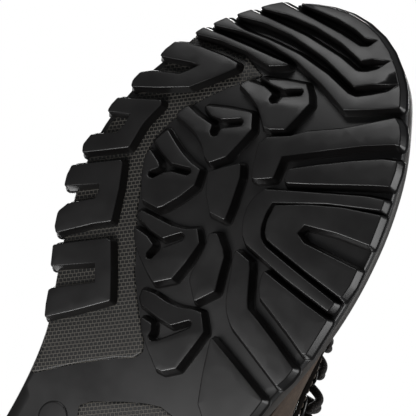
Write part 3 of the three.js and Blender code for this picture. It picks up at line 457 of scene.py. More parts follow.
def heel_lugs():
    """Three slotted blocks on each side, two arrowheads between and a grooved comb across the back."""
    lugs = []
    for i in range(3):
        y0 = HEEL_START + i * HEEL_PITCH
        y1 = y0 + HEEL_BLOCK
        for side in (1, -1):
            rim = [half_width(y, side) + 0.6 for y in (y0 + 3, y0 + 11, y0 + 17, y1 + 3)]
            inner = HEEL_INNER + 8
            block = [(rim[0], y0 + 2.6), (HEEL_INNER, y0), (HEEL_INNER - 2, y0 + 10), (HEEL_INNER, y1),
                     (rim[3], y1 + 2.6), (rim[2], y0 + 16.6), (inner, y0 + 13), (inner, y0 + 8),
                     (rim[1], y0 + 10.6)]
            lugs.append([(HEEL_MIDDLE + side * x, y) for x, y in block])
    for y in (58, 90):
        lugs.append([(2, y), (13, y + 6), (11, y + 17), (2, y + 23), (-7, y + 17), (-9, y + 6)])
    bars = ((126.5, 132), (135.3, 141.2), (144.3, 150.8))
    for low, high in bars:
        left, right = half_width(low + 3, -1) + 0.4, half_width(low + 3, 1) + 0.4
        far_left, far_right = half_width(high + 2, -1) + 0.2, half_width(high + 2, 1) + 0.2
        bow = 2.6 if high < 150 else 1.2
        lugs.append([(HEEL_MIDDLE + right, low + 4), (HEEL_MIDDLE + 14, low), (HEEL_MIDDLE, low - 1.2, 9),
                     (HEEL_MIDDLE - 14, low), (HEEL_MIDDLE - left, low + 4),
                     (HEEL_MIDDLE - far_left, high + bow), (HEEL_MIDDLE - 14, high - 0.4),
                     (HEEL_MIDDLE, high - 1.2, 9), (HEEL_MIDDLE + 14, high - 0.4),
                     (HEEL_MIDDLE + far_right, high + bow)])
    return lugs


# Textured ground between the lugs: rows of small dashes along the medial side, and the waist panel.
STRIP = [(-46, -121), (-25, -123.5), (-16, -120.3), (-25, -111, 9), (-30, -104, 9), (-35, -95, 9),
         (-38, -85, 9), (-38.2, -79, 9), (-36.5, -73, 9), (-30, -58, 9), (-25, -50, 9), (-20, -40.5, 9),
         (-15, -34, 9), (-10, -28, 9), (-4, -21.5, 3), (-2.2, -18.3, 2), (-4, -15, 2), (-10, -11.5, 9),
         (-20, -4, 20), (-34.5, 8.6), (-35, 0, 20), (-38, -10, 6), (-42, -20, 6), (-48, -35, 6),
         (-52, -47, 6), (-56, -65, 6), (-55.5, -80, 6), (-52, -95, 6), (-49, -110, 6)]
WAIST_PANEL = [(-12.5, 8.8), (-9.5, 5.6), (0, 0.2, 30), (8, -3.8, 30), (13.5, -5.5), (19, -5), (30, -3.5),
               (36, 4, 6), (34, 20, 9), (30, 33), (8, 38), (-4, 30, 6)]
MESH_CELL = (1.5, 1.3)       # a cell of the raised mesh along and across its rows
MESH_TURN = math.radians(-35)
DISC = (-19.0, 17.0, 5.4)    # a moulded disc beside the waist panel: x, y, radius


def rubber(name, colour, roughness, grain=0.12, ior=1.52, dust=0.0):
    """Moulded nitrile rubber: near black, a satin face off the mould, and a grain too fine to see as more
    than a softened shine. The real grain is about 0.05 mm; it is drawn at 0.3 mm so that it shows."""
    material, tree, output = new_material(name)
    coords = node(tree, "ShaderNodeTexCoord")
    fine = node(tree, "ShaderNodeTexNoise", {"Vector": coords.outputs["Object"]},
                inputs={"Scale": 1 / (0.3 * MM), "Detail": 3.0, "Roughness": 0.6})
    broad = node(tree, "ShaderNodeTexNoise", {"Vector": coords.outputs["Object"]},
                 inputs={"Scale": 1 / (16 * MM), "Detail": 4.0})
    rough = node(tree, "ShaderNodeMapRange", {"Value": broad.outputs[0]},
                 inputs={"From Min": 0.3, "From Max": 0.7, "To Min": roughness - 0.05,
                         "To Max": roughness + 0.06})
    tint = node(tree, "ShaderNodeMix", {"Factor": broad.outputs[0]}, data_type="RGBA")
    tint.inputs["A"].default_value = linear(colour)
    tint.inputs["B"].default_value = tuple(c * (1.25 + dust) for c in linear(colour)[:3]) + (1,)
    bump = node(tree, "ShaderNodeBump", {"Height": fine.outputs[0]},
                inputs={"Strength": grain, "Distance": 0.05 * MM})
    skin = node(tree, "ShaderNodeBsdfPrincipled",
                {"Base Color": tint.outputs["Result"], "Roughness": rough.outputs[0],
                 "Normal": bump.outputs[0]},
                inputs={"IOR": ior})
    tree.links.new(skin.outputs[0], output.inputs[0])
    return material


def mesh_rubber():
    """The same rubber with a raised mesh moulded in: thin ridges round cells laid like bricks. The ridges are
    painted light grey as a painted highlight, and the cells are painted blacker than the rubber as painted
    shade.
    """
    material, tree, output = new_material("rubber with a moulded mesh, painted highlight and shade")
    coords = node(tree, "ShaderNodeTexCoord")
    turned = node(tree, "ShaderNodeMapping", {"Vector": coords.outputs["Object"]})
    turned.inputs["Rotation"].default_value = (0, 0, -MESH_TURN)
    mesh = node(tree, "ShaderNodeTexBrick", {"Vector": turned.outputs[0]}, offset=0.5,
                inputs={"Scale": 1 / MM, "Brick Width": MESH_CELL[0], "Row Height": MESH_CELL[1],
                        "Mortar Size": 0.24, "Mortar Smooth": 0.5})
    # Painted highlight and shade: the mortar colour is a painted highlight on the ridges, and the two brick
    # colours are painted shade in the cells.
    for socket, colour in (("Color1", "#050505"), ("Color2", "#090909"), ("Mortar", "#4b4843")):
        mesh.inputs[socket].default_value = linear(colour)
    bump = node(tree, "ShaderNodeBump", {"Height": mesh.outputs["Fac"]},
                inputs={"Strength": 0.8, "Distance": 0.35 * MM})
    skin = node(tree, "ShaderNodeBsdfPrincipled",
                {"Base Color": mesh.outputs["Color"], "Normal": bump.outputs[0]}, inputs={"Roughness": 0.42})
    tree.links.new(skin.outputs[0], output.inputs[0])
    return material


def plate_lift(x, y, share):
    """The plate's two faces, both following the toe spring."""
    return spring(y) + LUG_HEIGHT + PLATE * share


def panel_lift(x, y, share):
    """A panel standing 0.45 mm off the plate, its foot sunk 0.1 mm into it."""
    return spring(y) + LUG_HEIGHT - 0.45 + 0.55 * share


def make_outsole():
    """The plate with every lug, and the textured panels as a second piece in the same mould."""
    pieces, panels = Pieces(), Pieces()
    plate = [(-0.4, 0.0), (0.0, 0.08), (0.0, 0.94), (-0.3, 1.0)]
    add_block(pieces, sole_edge, plate, plate_lift)
    for lug in [TOE_COMB] + MEDIAL_BLOCKS + SMALL_LUGS + LATERAL_BARS + heel_lugs():
        add_block(pieces, rounded(lug), LUG_PROFILE, lug_lift())
    for outline, crease in ARROWS:
        add_block(pieces, rounded(outline), LUG_PROFILE, lug_lift(crease), 1.5)
    pad = [(-0.6, 0.0), (-0.35, 0.02), (0.0, 0.3), (0.25, 1.0), (0.2, 3.0)]
    for panel in (STRIP, WAIST_PANEL):
        add_block(panels, rounded(panel), pad, panel_lift)
    turn = np.linspace(0, 2 * math.pi, 40, endpoint=False)[:, None]
    ring = np.hstack([np.cos(turn), np.sin(turn)])
    add_block(pieces, np.array(DISC[:2]) + DISC[2] * ring, pad, panel_lift)
    return (pieces.build("outsole_rubber", rubber("moulded nitrile rubber", BLACK_RUBBER, 0.34)),
            panels.build("outsole_mesh_panels", mesh_rubber()))


outsole, mesh_panels = make_outsole()
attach(mesh_panels, "boot")
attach(outsole, "boot")
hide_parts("outsole")

# ---------------------------------------------------------------- midsole
# Injected dark polyurethane between the outsole and the upper: a drafted side wall with a rounded upper
# rim and a shadow line above the outsole.
MIDSOLE_BALL, MIDSOLE_HEEL = 10.5, 23.0
GAP = 0.3


def smooth(x):
    """0 below 0, 1 above 1 and a smooth step between."""
    c = np.clip(x, 0, 1)
    return c * c * (3 - 2 * c)


def midsole_top(y):
    """Height of the midsole's rim: level at the ball, higher at the heel, following the toe's spring."""
    thickness = MIDSOLE_BALL + (MIDSOLE_HEEL - MIDSOLE_BALL) * smooth((y + 70) / 170)
    return LUG_HEIGHT + PLATE + GAP + thickness + 1.25 * spring(y)


def make_midsole():
    """The midsole: a block on the sole's edge whose underside and rim follow the toe spring."""
    pieces = Pieces()
    low = LUG_HEIGHT + PLATE

    def lift(x, y, share):
        return (low + spring(y)) * (1 - share) + midsole_top(y) * share

    profile = [(-2.0, 0.0), (-1.4, 0.03), (-0.5, 0.09), (-0.1, 0.16), (-0.5, 0.5), (-1.1, 0.86), (-1.5, 0.95),
               (-2.3, 1.0), (-3.2, 1.0)]
    add_block(pieces, sole_edge, profile, lift)
    return pieces.build("midsole_foam", rubber("injected polyurethane", "#3b3733", 0.5, 0.25, 1.5, 0.1))


midsole = make_midsole()
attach(midsole, "boot")
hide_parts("midsole")

# ---------------------------------------------------------------- lining
# A knitted spacer textile laminated to foam, sewn up as a sock and lasted with the upper. It and every
# other layer of the upper follow the last: closed rows of places joined by upright Bezier curves.
STATIONS_Y = np.array([-165, -150, -141, -132, -123, -114, -104, -93, -80, -55, -30, -5, 20, 45, 70, 100,
                       170.0])
ROUND = [   # foot on the sole (x, y), belly, waist and top edge (x, y, z), from the toe by the lateral side
    ((-3, -142.5), (-4, -149.5, 62), (-6, -107, 76), (-2, -48, 95)),
    ((17.5, -134), (12, -138.5, 59), (4, -104, 77), (6, -46, 95.5)),
    ((31, -108), (26, -108, 52), (13, -88, 79), (11.5, -41, 96.5)),
    ((37, -70), (33, -70, 50), (19, -62, 81), (14.5, -27, 101.5)),
    ((36, -25), (34, -26, 56), (18, -20, 94), (17, 2, 124)),
    ((29, 18), (35, 18, 65), (35, 22, 120), (24, 34, 160)),
    ((31, 60), (37, 60, 75), (35, 62, 125), (36, 66, 164)),
    ((33, 104), (38, 106, 70), (32, 102, 115), (34, 101, 161)),
    ((25, 132), (28, 138, 70), (23, 124, 115), (23, 123, 158)),
    ((1, 143), (1, 151, 70), (1, 133, 115), (1, 134, 157)),
    ((-22, 132), (-25, 138, 70), (-21, 124, 115), (-21, 123, 158)),
    ((-30, 104), (-35, 106, 70), (-30, 102, 115), (-32, 101, 161)),
    ((-27, 60), (-34, 60, 75), (-33, 62, 125), (-34, 66, 164)),
    ((-26, 16), (-35, 17, 65), (-36, 22, 120), (-25, 34, 160)),
    ((-35, -25), (-41, -26, 62), (-37, -20, 97), (-22, 2, 127)),
    ((-47, -70), (-52, -70, 55), (-38, -62, 85), (-20, -27, 102)),
    ((-44, -106), (-49, -108, 58), (-30, -88, 81), (-16, -40, 97.5)),
    ((-26, -133), (-34, -140, 62), (-21, -103, 78), (-9.5, -46, 95.5)),
]
PLACES = len(ROUND)
LAST_ROWS = [np.array([tuple(place[k]) + (0,) * (3 - len(place[k])) for place in ROUND], float)
             for k in range(4)]
LINING = 2.0
SKIN_IN, SKIN_OUT, OVER_IN, OVER_OUT = 5.26, 7.26, 8.04, 9.64    # distances from the last to each layer


def seat_level(y):
    """Height of what stands on the midsole: its rim in straight steps, plus a gap."""
    return np.interp(y, STATIONS_Y, midsole_top(STATIONS_Y)) + GAP


def on_last(u, t):
    """A place on the last: (1-t)^3 a + 3 (1-t)^2 t b + 3 (1-t) t^2 c + t^3 d between the four rows at u."""
    u, t = np.broadcast_arrays(np.asarray(u, float), np.asarray(t, float))
    a, b, c, d = (along_closed(row, u) for row in LAST_ROWS)
    a[..., 2] = seat_level(a[..., 1])
    t = t[..., None]
    s = 1 - t
    return s ** 3 * a + 3 * s * s * t * b + 3 * s * t * t * c + t ** 3 * d


def outward(u, t, step=1e-3):
    """The last's normal, from the cross product of its two slopes."""
    t = np.asarray(t, float)
    slope_u = on_last(u + step, t) - on_last(u - step, t)
    slope_t = on_last(u, np.minimum(1, t + step)) - on_last(u, np.maximum(0, t - step))
    normal = np.cross(slope_u, slope_t)
    return normal / np.linalg.norm(normal, axis=-1, keepdims=True)


def off_last(u, t, away):
    """A place at a distance from the last. On the sole it stays level with the seat."""
    u, t, away = np.broadcast_arrays(np.asarray(u, float), np.asarray(t, float), np.asarray(away, float))
    place = on_last(u, t) + outward(u, t) * away[..., None]
    place[..., 2] = np.where(t == 0, seat_level(place[..., 1]), place[..., 2])
    return place


def grid_faces(columns, rows_, first, ring=False):
    """Quads over a grid whose point (i, j) has the number first + i * rows_ + j."""
    i = np.arange(columns if ring else columns - 1)[:, None]
    j = np.arange(rows_ - 1)[None]
    k = (i + 1) % columns
    return np.stack([first + i * rows_ + j, first + k * rows_ + j, first + k * rows_ + j + 1,
                     first + i * rows_ + j + 1], -1).reshape(-1, 4)


def add_layer(pieces, u, low, high, inner, outer, up=40, ring=False):
    """A closed layer between two offsets of the last, over the columns u, from t = low(u) to high(u)."""
    columns = len(u)
    share = np.linspace(0, 1, up + 1)
    bottom, top = np.broadcast_to(low, u.shape), np.broadcast_to(high, u.shape)
    wide = np.broadcast_to(u[:, None], (columns, up + 1))
    tall = bottom[:, None] + (top - bottom)[:, None] * share
    outer = outer(wide, tall, share) if callable(outer) else outer
    inner = inner(wide, tall, share) if callable(inner) else inner
    points = np.vstack([off_last(wide, tall, inner).reshape(-1, 3),
                        off_last(wide, tall, outer).reshape(-1, 3)])
    layer = columns * (up + 1)
    i = np.arange(columns if ring else columns - 1)
    k = (i + 1) % columns
    inside_faces = grid_faces(columns, up + 1, 0, ring)[:, ::-1]
    outside_faces = grid_faces(columns, up + 1, layer, ring)
    below = np.stack([i, k, k, i], 1) * (up + 1) + [0, 0, layer, layer]
    above = np.stack([i, k, k, i], 1)[:, ::-1] * (up + 1) + up + [layer, layer, 0, 0]
    faces = [inside_faces, outside_faces, below, above]
    if not ring:
        j = np.arange(up)
        last = (columns - 1) * (up + 1)
        faces.append(np.stack([j, j + layer, j + 1 + layer, j + 1], 1))
        faces.append(np.stack([j + last, j + 1 + last, j + 1 + last + layer, j + last + layer], 1))
    pieces.add(points, np.vstack(faces).tolist())


def soft_edges(piece, width, segments=3):
    """Rounds a piece's edges by a width in mm."""
    bevel = piece.modifiers.new("rounded edges", "BEVEL")
    bevel.width = width * MM
    bevel.segments = segments
    bevel.limit_method = "ANGLE"
    bevel.angle_limit = math.radians(50)
    bevel.harden_normals = False


def spacer_textile(name, colour, hole):
    """Knitted spacer mesh: rows of small open cells, painted darker inside as painted shade. The real cells
    are 2 mm apart and half as wide.
    """
    material, tree, output = new_material(name)
    coords = node(tree, "ShaderNodeTexCoord")
    cells = node(tree, "ShaderNodeTexVoronoi", {"Vector": coords.outputs["Object"]},
                 inputs={"Scale": 1 / (2.0 * MM), "Randomness": 0.35})
    open_part = node(tree, "ShaderNodeMapRange", {"Value": cells.outputs["Distance"]},
                     inputs={"From Min": 0.15, "From Max": 0.42, "To Min": 0.0, "To Max": 1.0})
    # Painted shade: the open cells take the darker hole colour.
    tint = node(tree, "ShaderNodeMix", {"Factor": open_part.outputs[0]}, data_type="RGBA")
    tint.inputs["A"].default_value = linear(hole)
    tint.inputs["B"].default_value = linear(colour)
    bump = node(tree, "ShaderNodeBump", {"Height": open_part.outputs[0]},
                inputs={"Strength": 0.6, "Distance": 0.5 * MM})
    skin = node(tree, "ShaderNodeBsdfPrincipled",
                {"Base Color": tint.outputs["Result"], "Normal": bump.outputs[0]},
                inputs={"Roughness": 0.95, "Sheen Weight": 0.25, "Sheen Roughness": 0.5})
    tree.links.new(skin.outputs[0], output.inputs[0])
    return material


def lining_outside(u, t, share):
    """The lining's outside: 2 mm off the last below, and foam-backed to 4.45 mm above the counter."""
    return LINING + 2.45 * smooth((t - 0.5) / 0.1)


lining_pieces = Pieces()
round_places = np.linspace(0, PLACES, 144, endpoint=False)
add_layer(lining_pieces, round_places, 0.0, 0.985, 0.0, lining_outside, 36, True)
# The second colour is painted shade in the lining's open cells.
lining = lining_pieces.build("sock_lining", spacer_textile("knitted spacer textile", "#3b3a3d", "#141416"))
soft_edges(lining, 1.6)
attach(lining, "boot")
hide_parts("lining")

# ---------------------------------------------------------------- vamp and quarters
# 2 mm oiled nubuck, buffed on its grain side: dull, mottled where the nap lies differently, and creased
# across the flex of the foot. The quarters lap the vamp's edge and are sewn down with two rows.
SEAM = 0.02
TOP_EDGE = 0.975
COLLAR_FROM, COLLAR_TO, COLLAR_LOW, COLLAR_HIGH = 5.05, 12.95, 0.84, 0.99
STITCH_PITCH, STITCH_LENGTH, THREAD = 3.3, 2.5, 0.36    # mm


def nubuck():
    """Oiled nubuck: a short nap with broad smoky patches, a fine grain, and a faint velvet edge."""
    material, tree, output = new_material("oiled nubuck")
    coords = node(tree, "ShaderNodeTexCoord")
    patches = node(tree, "ShaderNodeTexNoise", {"Vector": coords.outputs["Object"]},
                   inputs={"Scale": 1 / (22 * MM), "Detail": 6.0, "Roughness": 0.62})
    specks = node(tree, "ShaderNodeTexNoise", {"Vector": coords.outputs["Object"]},
                  inputs={"Scale": 1 / (1.4 * MM), "Detail": 4.0, "Roughness": 0.7})
    both = node(tree, "ShaderNodeMath", {0: patches.outputs[0], 1: specks.outputs[0]}, operation="ADD")
    ramp = node(tree, "ShaderNodeValToRGB",
                {0: node(tree, "ShaderNodeMath", {0: both.outputs[0]}, operation="MULTIPLY",
                         inputs={1: 0.5}).outputs[0]})
    ramp.color_ramp.elements[0].position = 0.36
    ramp.color_ramp.elements[0].color = linear("#3f352e")
    ramp.color_ramp.elements[1].position = 0.66
    ramp.color_ramp.elements[1].color = linear("#7b6a5b")
    middle = ramp.color_ramp.elements.new(0.5)
    middle.color = linear("#5d4e43")
    pores = node(tree, "ShaderNodeTexVoronoi", {"Vector": coords.outputs["Object"]},
                 inputs={"Scale": 1 / (0.9 * MM)})
    height = node(tree, "ShaderNodeMath", {0: pores.outputs["Distance"], 1: specks.outputs[0]},
                  operation="ADD")
    bump = node(tree, "ShaderNodeBump", {"Height": height.outputs[0]},
                inputs={"Strength": 0.45, "Distance": 0.18 * MM})
    skin = node(tree, "ShaderNodeBsdfPrincipled",
                {"Base Color": ramp.outputs[0], "Normal": bump.outputs[0]},
                inputs={"Roughness": 0.9, "IOR": 1.35, "Sheen Weight": 0.12, "Sheen Roughness": 0.4})
    skin.inputs["Sheen Tint"].default_value = linear("#a89a8c")
    tree.links.new(skin.outputs[0], output.inputs[0])
    return material


def thread_material():
    """Bonded polyester thread, a little lighter than the leather."""
    material, tree, output = new_material("bonded thread")
    coords = node(tree, "ShaderNodeTexCoord")
    twist = node(tree, "ShaderNodeTexNoise", {"Vector": coords.outputs["Object"]},
                 inputs={"Scale": 1 / (0.5 * MM), "Detail": 2.0})
    tint = node(tree, "ShaderNodeMix", {"Factor": twist.outputs[0]}, data_type="RGBA")
    tint.inputs["A"].default_value = linear("#54483d")
    tint.inputs["B"].default_value = linear("#9c8a75")
    skin = node(tree, "ShaderNodeBsdfPrincipled", {"Base Color": tint.outputs["Result"]},
                inputs={"Roughness": 0.55, "Sheen Weight": 0.2})
    tree.links.new(skin.outputs[0], output.inputs[0])
    return material


def add_stitches(pieces, u, t, away):
    """Arched stitches along the line (u, t) at a distance from the last: each a six-sided barrel whose ends
    dip into the leather, placed at even steps of the line's length."""
    fine = np.linspace(0, 1, 800)
    own = np.linspace(0, 1, len(u))
    u, t = np.interp(fine, own, u), np.interp(fine, own, t)
    line, normal = off_last(u, t, away), outward(u, t)
    walk = np.concatenate([[0], np.cumsum(np.linalg.norm(np.diff(line, axis=0), axis=1))])
    at = np.arange(0.5, int(walk[-1] / STITCH_PITCH)) * STITCH_PITCH

    def pick(table, where):
        return np.stack([np.interp(where, walk, table[:, k]) for k in range(3)], 1)

    centre, up = pick(line, at), pick(normal, at)
    along = pick(line, at + 0.4) - pick(line, at - 0.4)
    along /= np.linalg.norm(along, axis=1, keepdims=True)
    side = np.cross(up, along)
    reach = np.array([-1, -0.7, 0, 0.7, 1]) * STITCH_LENGTH / 2
    girth = np.array([0.5, 0.95, 1, 0.95, 0.5]) * THREAD
    lift = np.array([-0.35, 0.05, 0.16, 0.05, -0.35])
    angle = np.arange(6) * math.pi / 3
    flat = np.cos(angle)[None] * girth[:, None]
    tall = np.sin(angle)[None] * girth[:, None] + lift[:, None]
    long = np.broadcast_to(reach[:, None], flat.shape)
    part = [a.ravel()[None, :, None] for a in (long, flat, tall)]
    points = centre[:, None] + part[0] * along[:, None] + part[1] * side[:, None] + part[2] * up[:, None]
    ring = np.arange(4)[:, None] * 6
    j = np.arange(6)[None]
    k = (j + 1) % 6
    walls = np.stack([ring + j, ring + k, ring + 6 + k, ring + 6 + j], -1).reshape(-1, 4)
    first = (walls[None] + 30 * np.arange(len(centre))[:, None, None]).reshape(-1, 4).tolist()
    starts = 30 * np.arange(len(centre))[:, None]
    caps = (starts + np.arange(6)[None, ::-1]).tolist() + (starts + 24 + np.arange(6)[None]).tolist()
    pieces.add(points.reshape(-1, 3), first + caps)


def moved(u, t, across, up):
    """The line (u, t) moved over the last by distances in mm across (to higher u) and up (to higher t)."""
    per_u = np.linalg.norm(on_last(u + 0.02, t) - on_last(u - 0.02, t), axis=-1) / 0.04
    per_t = np.linalg.norm(on_last(u, np.minimum(1, t + 0.01)) - on_last(u, np.maximum(0, t - 0.01)),
                           axis=-1) / 0.02
    return u + across / per_u, t + up / per_t


def creased(u, t, share):
    """The leather's outside: creases 0.5 mm deep and 11 mm apart where the foot bends, fading out sideways,
    and a slow waviness of 0.15 mm everywhere."""
    place = on_last(u, t)
    x, y = place[..., 0], place[..., 1]
    flex = np.exp(-((y + 68) / 17) ** 2) * smooth((t - 0.25) / 0.25)
    wave = np.maximum(0, np.cos(2 * math.pi * (y + 0.12 * np.abs(x + 4)) / 11)) ** 3
    slow = np.sin(y / 13 + 0.9 * np.sin(x / 17)) * np.sin(place[..., 2] / 15 + x / 21)
    return SKIN_OUT - 0.5 * flex * wave + 0.15 * slow * smooth(t / 0.08)


def quarter_top(u):
    """The quarters run up to the throat's edge in front and stop under the collar pad behind it."""
    behind = smooth((np.minimum(u, PLACES - u) - COLLAR_FROM + 0.11) / 0.09)
    return TOP_EDGE + (COLLAR_LOW - 0.006 - TOP_EDGE) * behind


leather = nubuck()
thread = thread_material()
collar_step = [COLLAR_FROM - 0.12 + 0.0125 * k for k in range(9)]
lateral_places = np.unique(np.concatenate([np.linspace(3 + SEAM, 9 - SEAM, 110), collar_step]))
medial_places = PLACES - lateral_places[::-1]
for name, places, top, stands_for in (
        ("vamp_leather", np.linspace(-3 + SEAM, 3 - SEAM, 100), TOP_EDGE, "vamp"),
        ("lateral_quarter_leather", lateral_places, quarter_top(lateral_places), "quarter_lateral"),
        ("medial_quarter_leather", medial_places, quarter_top(medial_places), "quarter_medial")):
    cut = Pieces()
    add_layer(cut, places, 0.0, top, SKIN_IN, creased, 60)
    hide = cut.build(name, leather)
    soft_edges(hide, 0.55)
    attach(hide, "boot")
    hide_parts(stands_for)

seams = Pieces()
climb = np.linspace(0.03, 0.76, 60)
for front in (3 + SEAM, PLACES - 3 - SEAM):
    for distance in (2.0, 4.6):
        way = distance if front < 9 else -distance
        u, t = moved(np.full(60, front), climb, way, 0)
        add_stitches(seams, u, t, SKIN_OUT)
under_collar = np.linspace(COLLAR_FROM + 0.1, COLLAR_TO - 0.1, 200)
for drop in (2.2, 4.8):
    u, t = moved(under_collar, np.full(200, COLLAR_LOW - 0.006), 0, -drop)
    apart = np.abs(u - 9) > 0.5
    add_stitches(seams, u[apart & (u < 9)], t[apart & (u < 9)], SKIN_OUT)
    add_stitches(seams, u[apart & (u > 9)], t[apart & (u > 9)], SKIN_OUT)
quarter_seams = seams.build("quarter_stitching", thread)
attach(quarter_seams, "boot")

# ---------------------------------------------------------------- toe bumper and heel stabiliser
# Moulded rubber shells cemented over the leather at the toe and the heel, with a fine leather-like
# texture and a row of stitches inside the upper edge.
def bumper_top(u):
    """The bumper's upper edge: high over the toe and low at its two ends."""
    return 0.1 + 0.17 * smooth((2.3 - np.abs(u)) / 1.2)


def stabiliser_top(u):
    """The stabiliser's upper edge: high at the heel's middle and low at its two ends."""
    return 0.1 + 0.17 * smooth((2.1 - np.abs(u - 9)) / 1.2)


bumper_rubber = rubber("textured bumper rubber", "#191817", 0.55, 0.5)
guards = Pieces()
for name, places, top, stands_for in (
        ("toe_bumper_rubber", np.linspace(-2.3, 2.3, 90), bumper_top, "toe_bumper"),
        ("heel_stabiliser_rubber", np.linspace(6.9, 11.1, 80), stabiliser_top, "heel_stabiliser")):
    shell = Pieces()
    add_layer(shell, places, 0.0, top(places), OVER_IN, OVER_OUT, 24)
    guard = shell.build(name, bumper_rubber)
    soft_edges(guard, 0.7)
    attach(guard, "boot")
    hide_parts(stands_for)
    u, t = moved(places[2:-2], top(places[2:-2]), 0, -2.4)
    add_stitches(guards, u, t, OVER_OUT)
guard_seams = guards.build("bumper_stitching", thread)
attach(guard_seams, "boot")

# ---------------------------------------------------------------- backstay and eyestays
# Straps of smooth full-grain leather sewn over the heel seam and along the throat, edges painted.
STAY_FROM, STAY_TO, STAY_LOW, STAY_MIDDLE = 1.1, 4.55, 0.79, 0.9


def smooth_leather(name, colour, roughness=0.5):
    """Full-grain leather: small irregular grain cells with fine grooves between, and a waxed shine."""
    material, tree, output = new_material(name)
    coords = node(tree, "ShaderNodeTexCoord")
    cells = node(tree, "ShaderNodeTexVoronoi", {"Vector": coords.outputs["Object"]},
                 feature="DISTANCE_TO_EDGE",
                 inputs={"Scale": 1 / (1.3 * MM)})
    groove = node(tree, "ShaderNodeMapRange", {"Value": cells.outputs["Distance"]},
                  inputs={"From Min": 0.0, "From Max": 0.16})
    cloud = node(tree, "ShaderNodeTexNoise", {"Vector": coords.outputs["Object"]},
                 inputs={"Scale": 1 / (14 * MM), "Detail": 4.0})
    tint = node(tree, "ShaderNodeMix", {"Factor": cloud.outputs[0]}, data_type="RGBA")
    tint.inputs["A"].default_value = tuple(c * 0.7 for c in linear(colour)[:3]) + (1,)
    tint.inputs["B"].default_value = tuple(c * 1.4 for c in linear(colour)[:3]) + (1,)
    bump = node(tree, "ShaderNodeBump", {"Height": groove.outputs[0]},
                inputs={"Strength": 0.35, "Distance": 0.12 * MM})
    skin = node(tree, "ShaderNodeBsdfPrincipled",
                {"Base Color": tint.outputs["Result"], "Normal": bump.outputs[0]},
                inputs={"Roughness": roughness, "IOR": 1.47})
    tree.links.new(skin.outputs[0], output.inputs[0])
    return material


strap_leather = smooth_leather("full-grain strap leather", "#2b2622")
straps = Pieces()
lateral_stay = np.linspace(STAY_FROM, STAY_TO, 90)
for name, places, low, high, stands_for in (
        ("lateral_eyestay_leather", lateral_stay, STAY_LOW, TOP_EDGE, "eyestay_lateral"),
        ("medial_eyestay_leather", PLACES - lateral_stay[::-1], STAY_LOW, TOP_EDGE, "eyestay_medial"),
        ("backstay_leather", np.linspace(8.58, 9.42, 16), 0.276, COLLAR_LOW - 0.006, "backstay")):
    shell = Pieces()
    add_layer(shell, places, low, high, OVER_IN, OVER_OUT, 50 if stands_for == "backstay" else 12)
    strap = shell.build(name, strap_leather)
    soft_edges(strap, 0.5)
    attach(strap, "boot")
    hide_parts(stands_for)
    if stands_for == "backstay":
        for edge, way in ((places[0], 1.8), (places[-1], -1.8)):
            u, t = moved(np.full(60, edge), np.linspace(low + 0.01, high - 0.01, 60), way, 0)
            add_stitches(straps, u, t, OVER_OUT)
    else:
        for edge, way in ((low, 1.8), (high, -1.8)):
            u, t = moved(places[2:-2], np.full(len(places) - 4, edge), 0, way)
            add_stitches(straps, u, t, OVER_OUT)
strap_seams = straps.build("strap_stitching", thread)
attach(strap_seams, "boot")

# ---------------------------------------------------------------- collar pad
# Soft garment leather over 6 mm foam round the ankle, sewn through in two channels. The pad is blown up
# by cloth pressure; its back stays on the lining.
COLLAR_PUFF = 6.0
COLLAR_VOXEL = 1.5      # mm
CHANNELS = (0.889, 0.94)


def coordinates(mesh):
    """A mesh's points as an array."""
    flat = np.empty(3 * len(mesh.vertices))
    mesh.vertices.foreach_get("co", flat)
    return flat.reshape(-1, 3)


def settle(piece):
    """Puts a piece's modifiers into its mesh."""
    shaped = piece.evaluated_get(bpy.context.evaluated_depsgraph_get())
    mesh = bpy.data.meshes.new_from_object(shaped)
    piece.modifiers.clear()
    piece.data = mesh


def swell(piece, voxel, pressure, cap, weight):
    """Remeshes a pad evenly, fills it with cloth pressure, and keeps each point's move under a cap, scaled
    by weight(points, normals)."""
    even = piece.modifiers.new("even", "REMESH")
    even.mode = "VOXEL"
    even.voxel_size = voxel * MM
    even.use_smooth_shade = True
    settle(piece)
    start = coordinates(piece.data)
    normals = np.empty(3 * len(start))
    piece.data.vertices.foreach_get("normal", normals)
    share = weight(start, normals.reshape(-1, 3))
    cloth = piece.modifiers.new("fill", "CLOTH")
    cloth.settings.use_pressure = True
    cloth.settings.uniform_pressure_force = pressure
    cloth.settings.effector_weights.gravity = 0
    cloth.settings.quality = 4
    cloth.collision_settings.use_collision = False
    cloth.point_cache.frame_start, cloth.point_cache.frame_end = 1, 20
    for frame_number in range(1, 21):
        bpy.context.scene.frame_set(frame_number)
    settle(piece)
    bpy.context.scene.frame_set(1)
    move = coordinates(piece.data) - start
    size = np.linalg.norm(move, axis=1, keepdims=True)
    move *= np.minimum(1, cap * MM / np.maximum(size, 1e-9)) * share[:, None]
    piece.data.vertices.foreach_set("co", (start + move).ravel())
    piece.data.update()


def faces_out(points, normals):
    """0 on the pad's back and 1 on its front, by the normal's turn away from the ankle's middle line."""
    axis = np.column_stack([np.full(len(points), 0.0046), np.clip(points[:, 1], 0.050, 0.100)])
    away = points[:, :2] - axis
    away /= np.linalg.norm(away, axis=1, keepdims=True)
    return smooth(0.5 + 0.8 * (normals[:, :2] * away).sum(1))


def collar_outside(u, t, share):
    """The pad's outside before it is filled: a low crown that runs out at both ends."""
    ends = smooth((u - COLLAR_FROM) / 0.4) * smooth((COLLAR_TO - u) / 0.4)
    return SKIN_OUT - 0.7 + 0.4 * COLLAR_PUFF * np.sin(math.pi * share) * (0.4 + 0.6 * ends)


shell = Pieces()
add_layer(shell, np.linspace(COLLAR_FROM, COLLAR_TO, 160), COLLAR_LOW, COLLAR_HIGH, SKIN_IN, collar_outside,
          16)
collar = shell.build("collar_pad_leather", smooth_leather("soft garment leather", "#2c2825", 0.58))
swell(collar, COLLAR_VOXEL, 4, 1.8, faces_out)


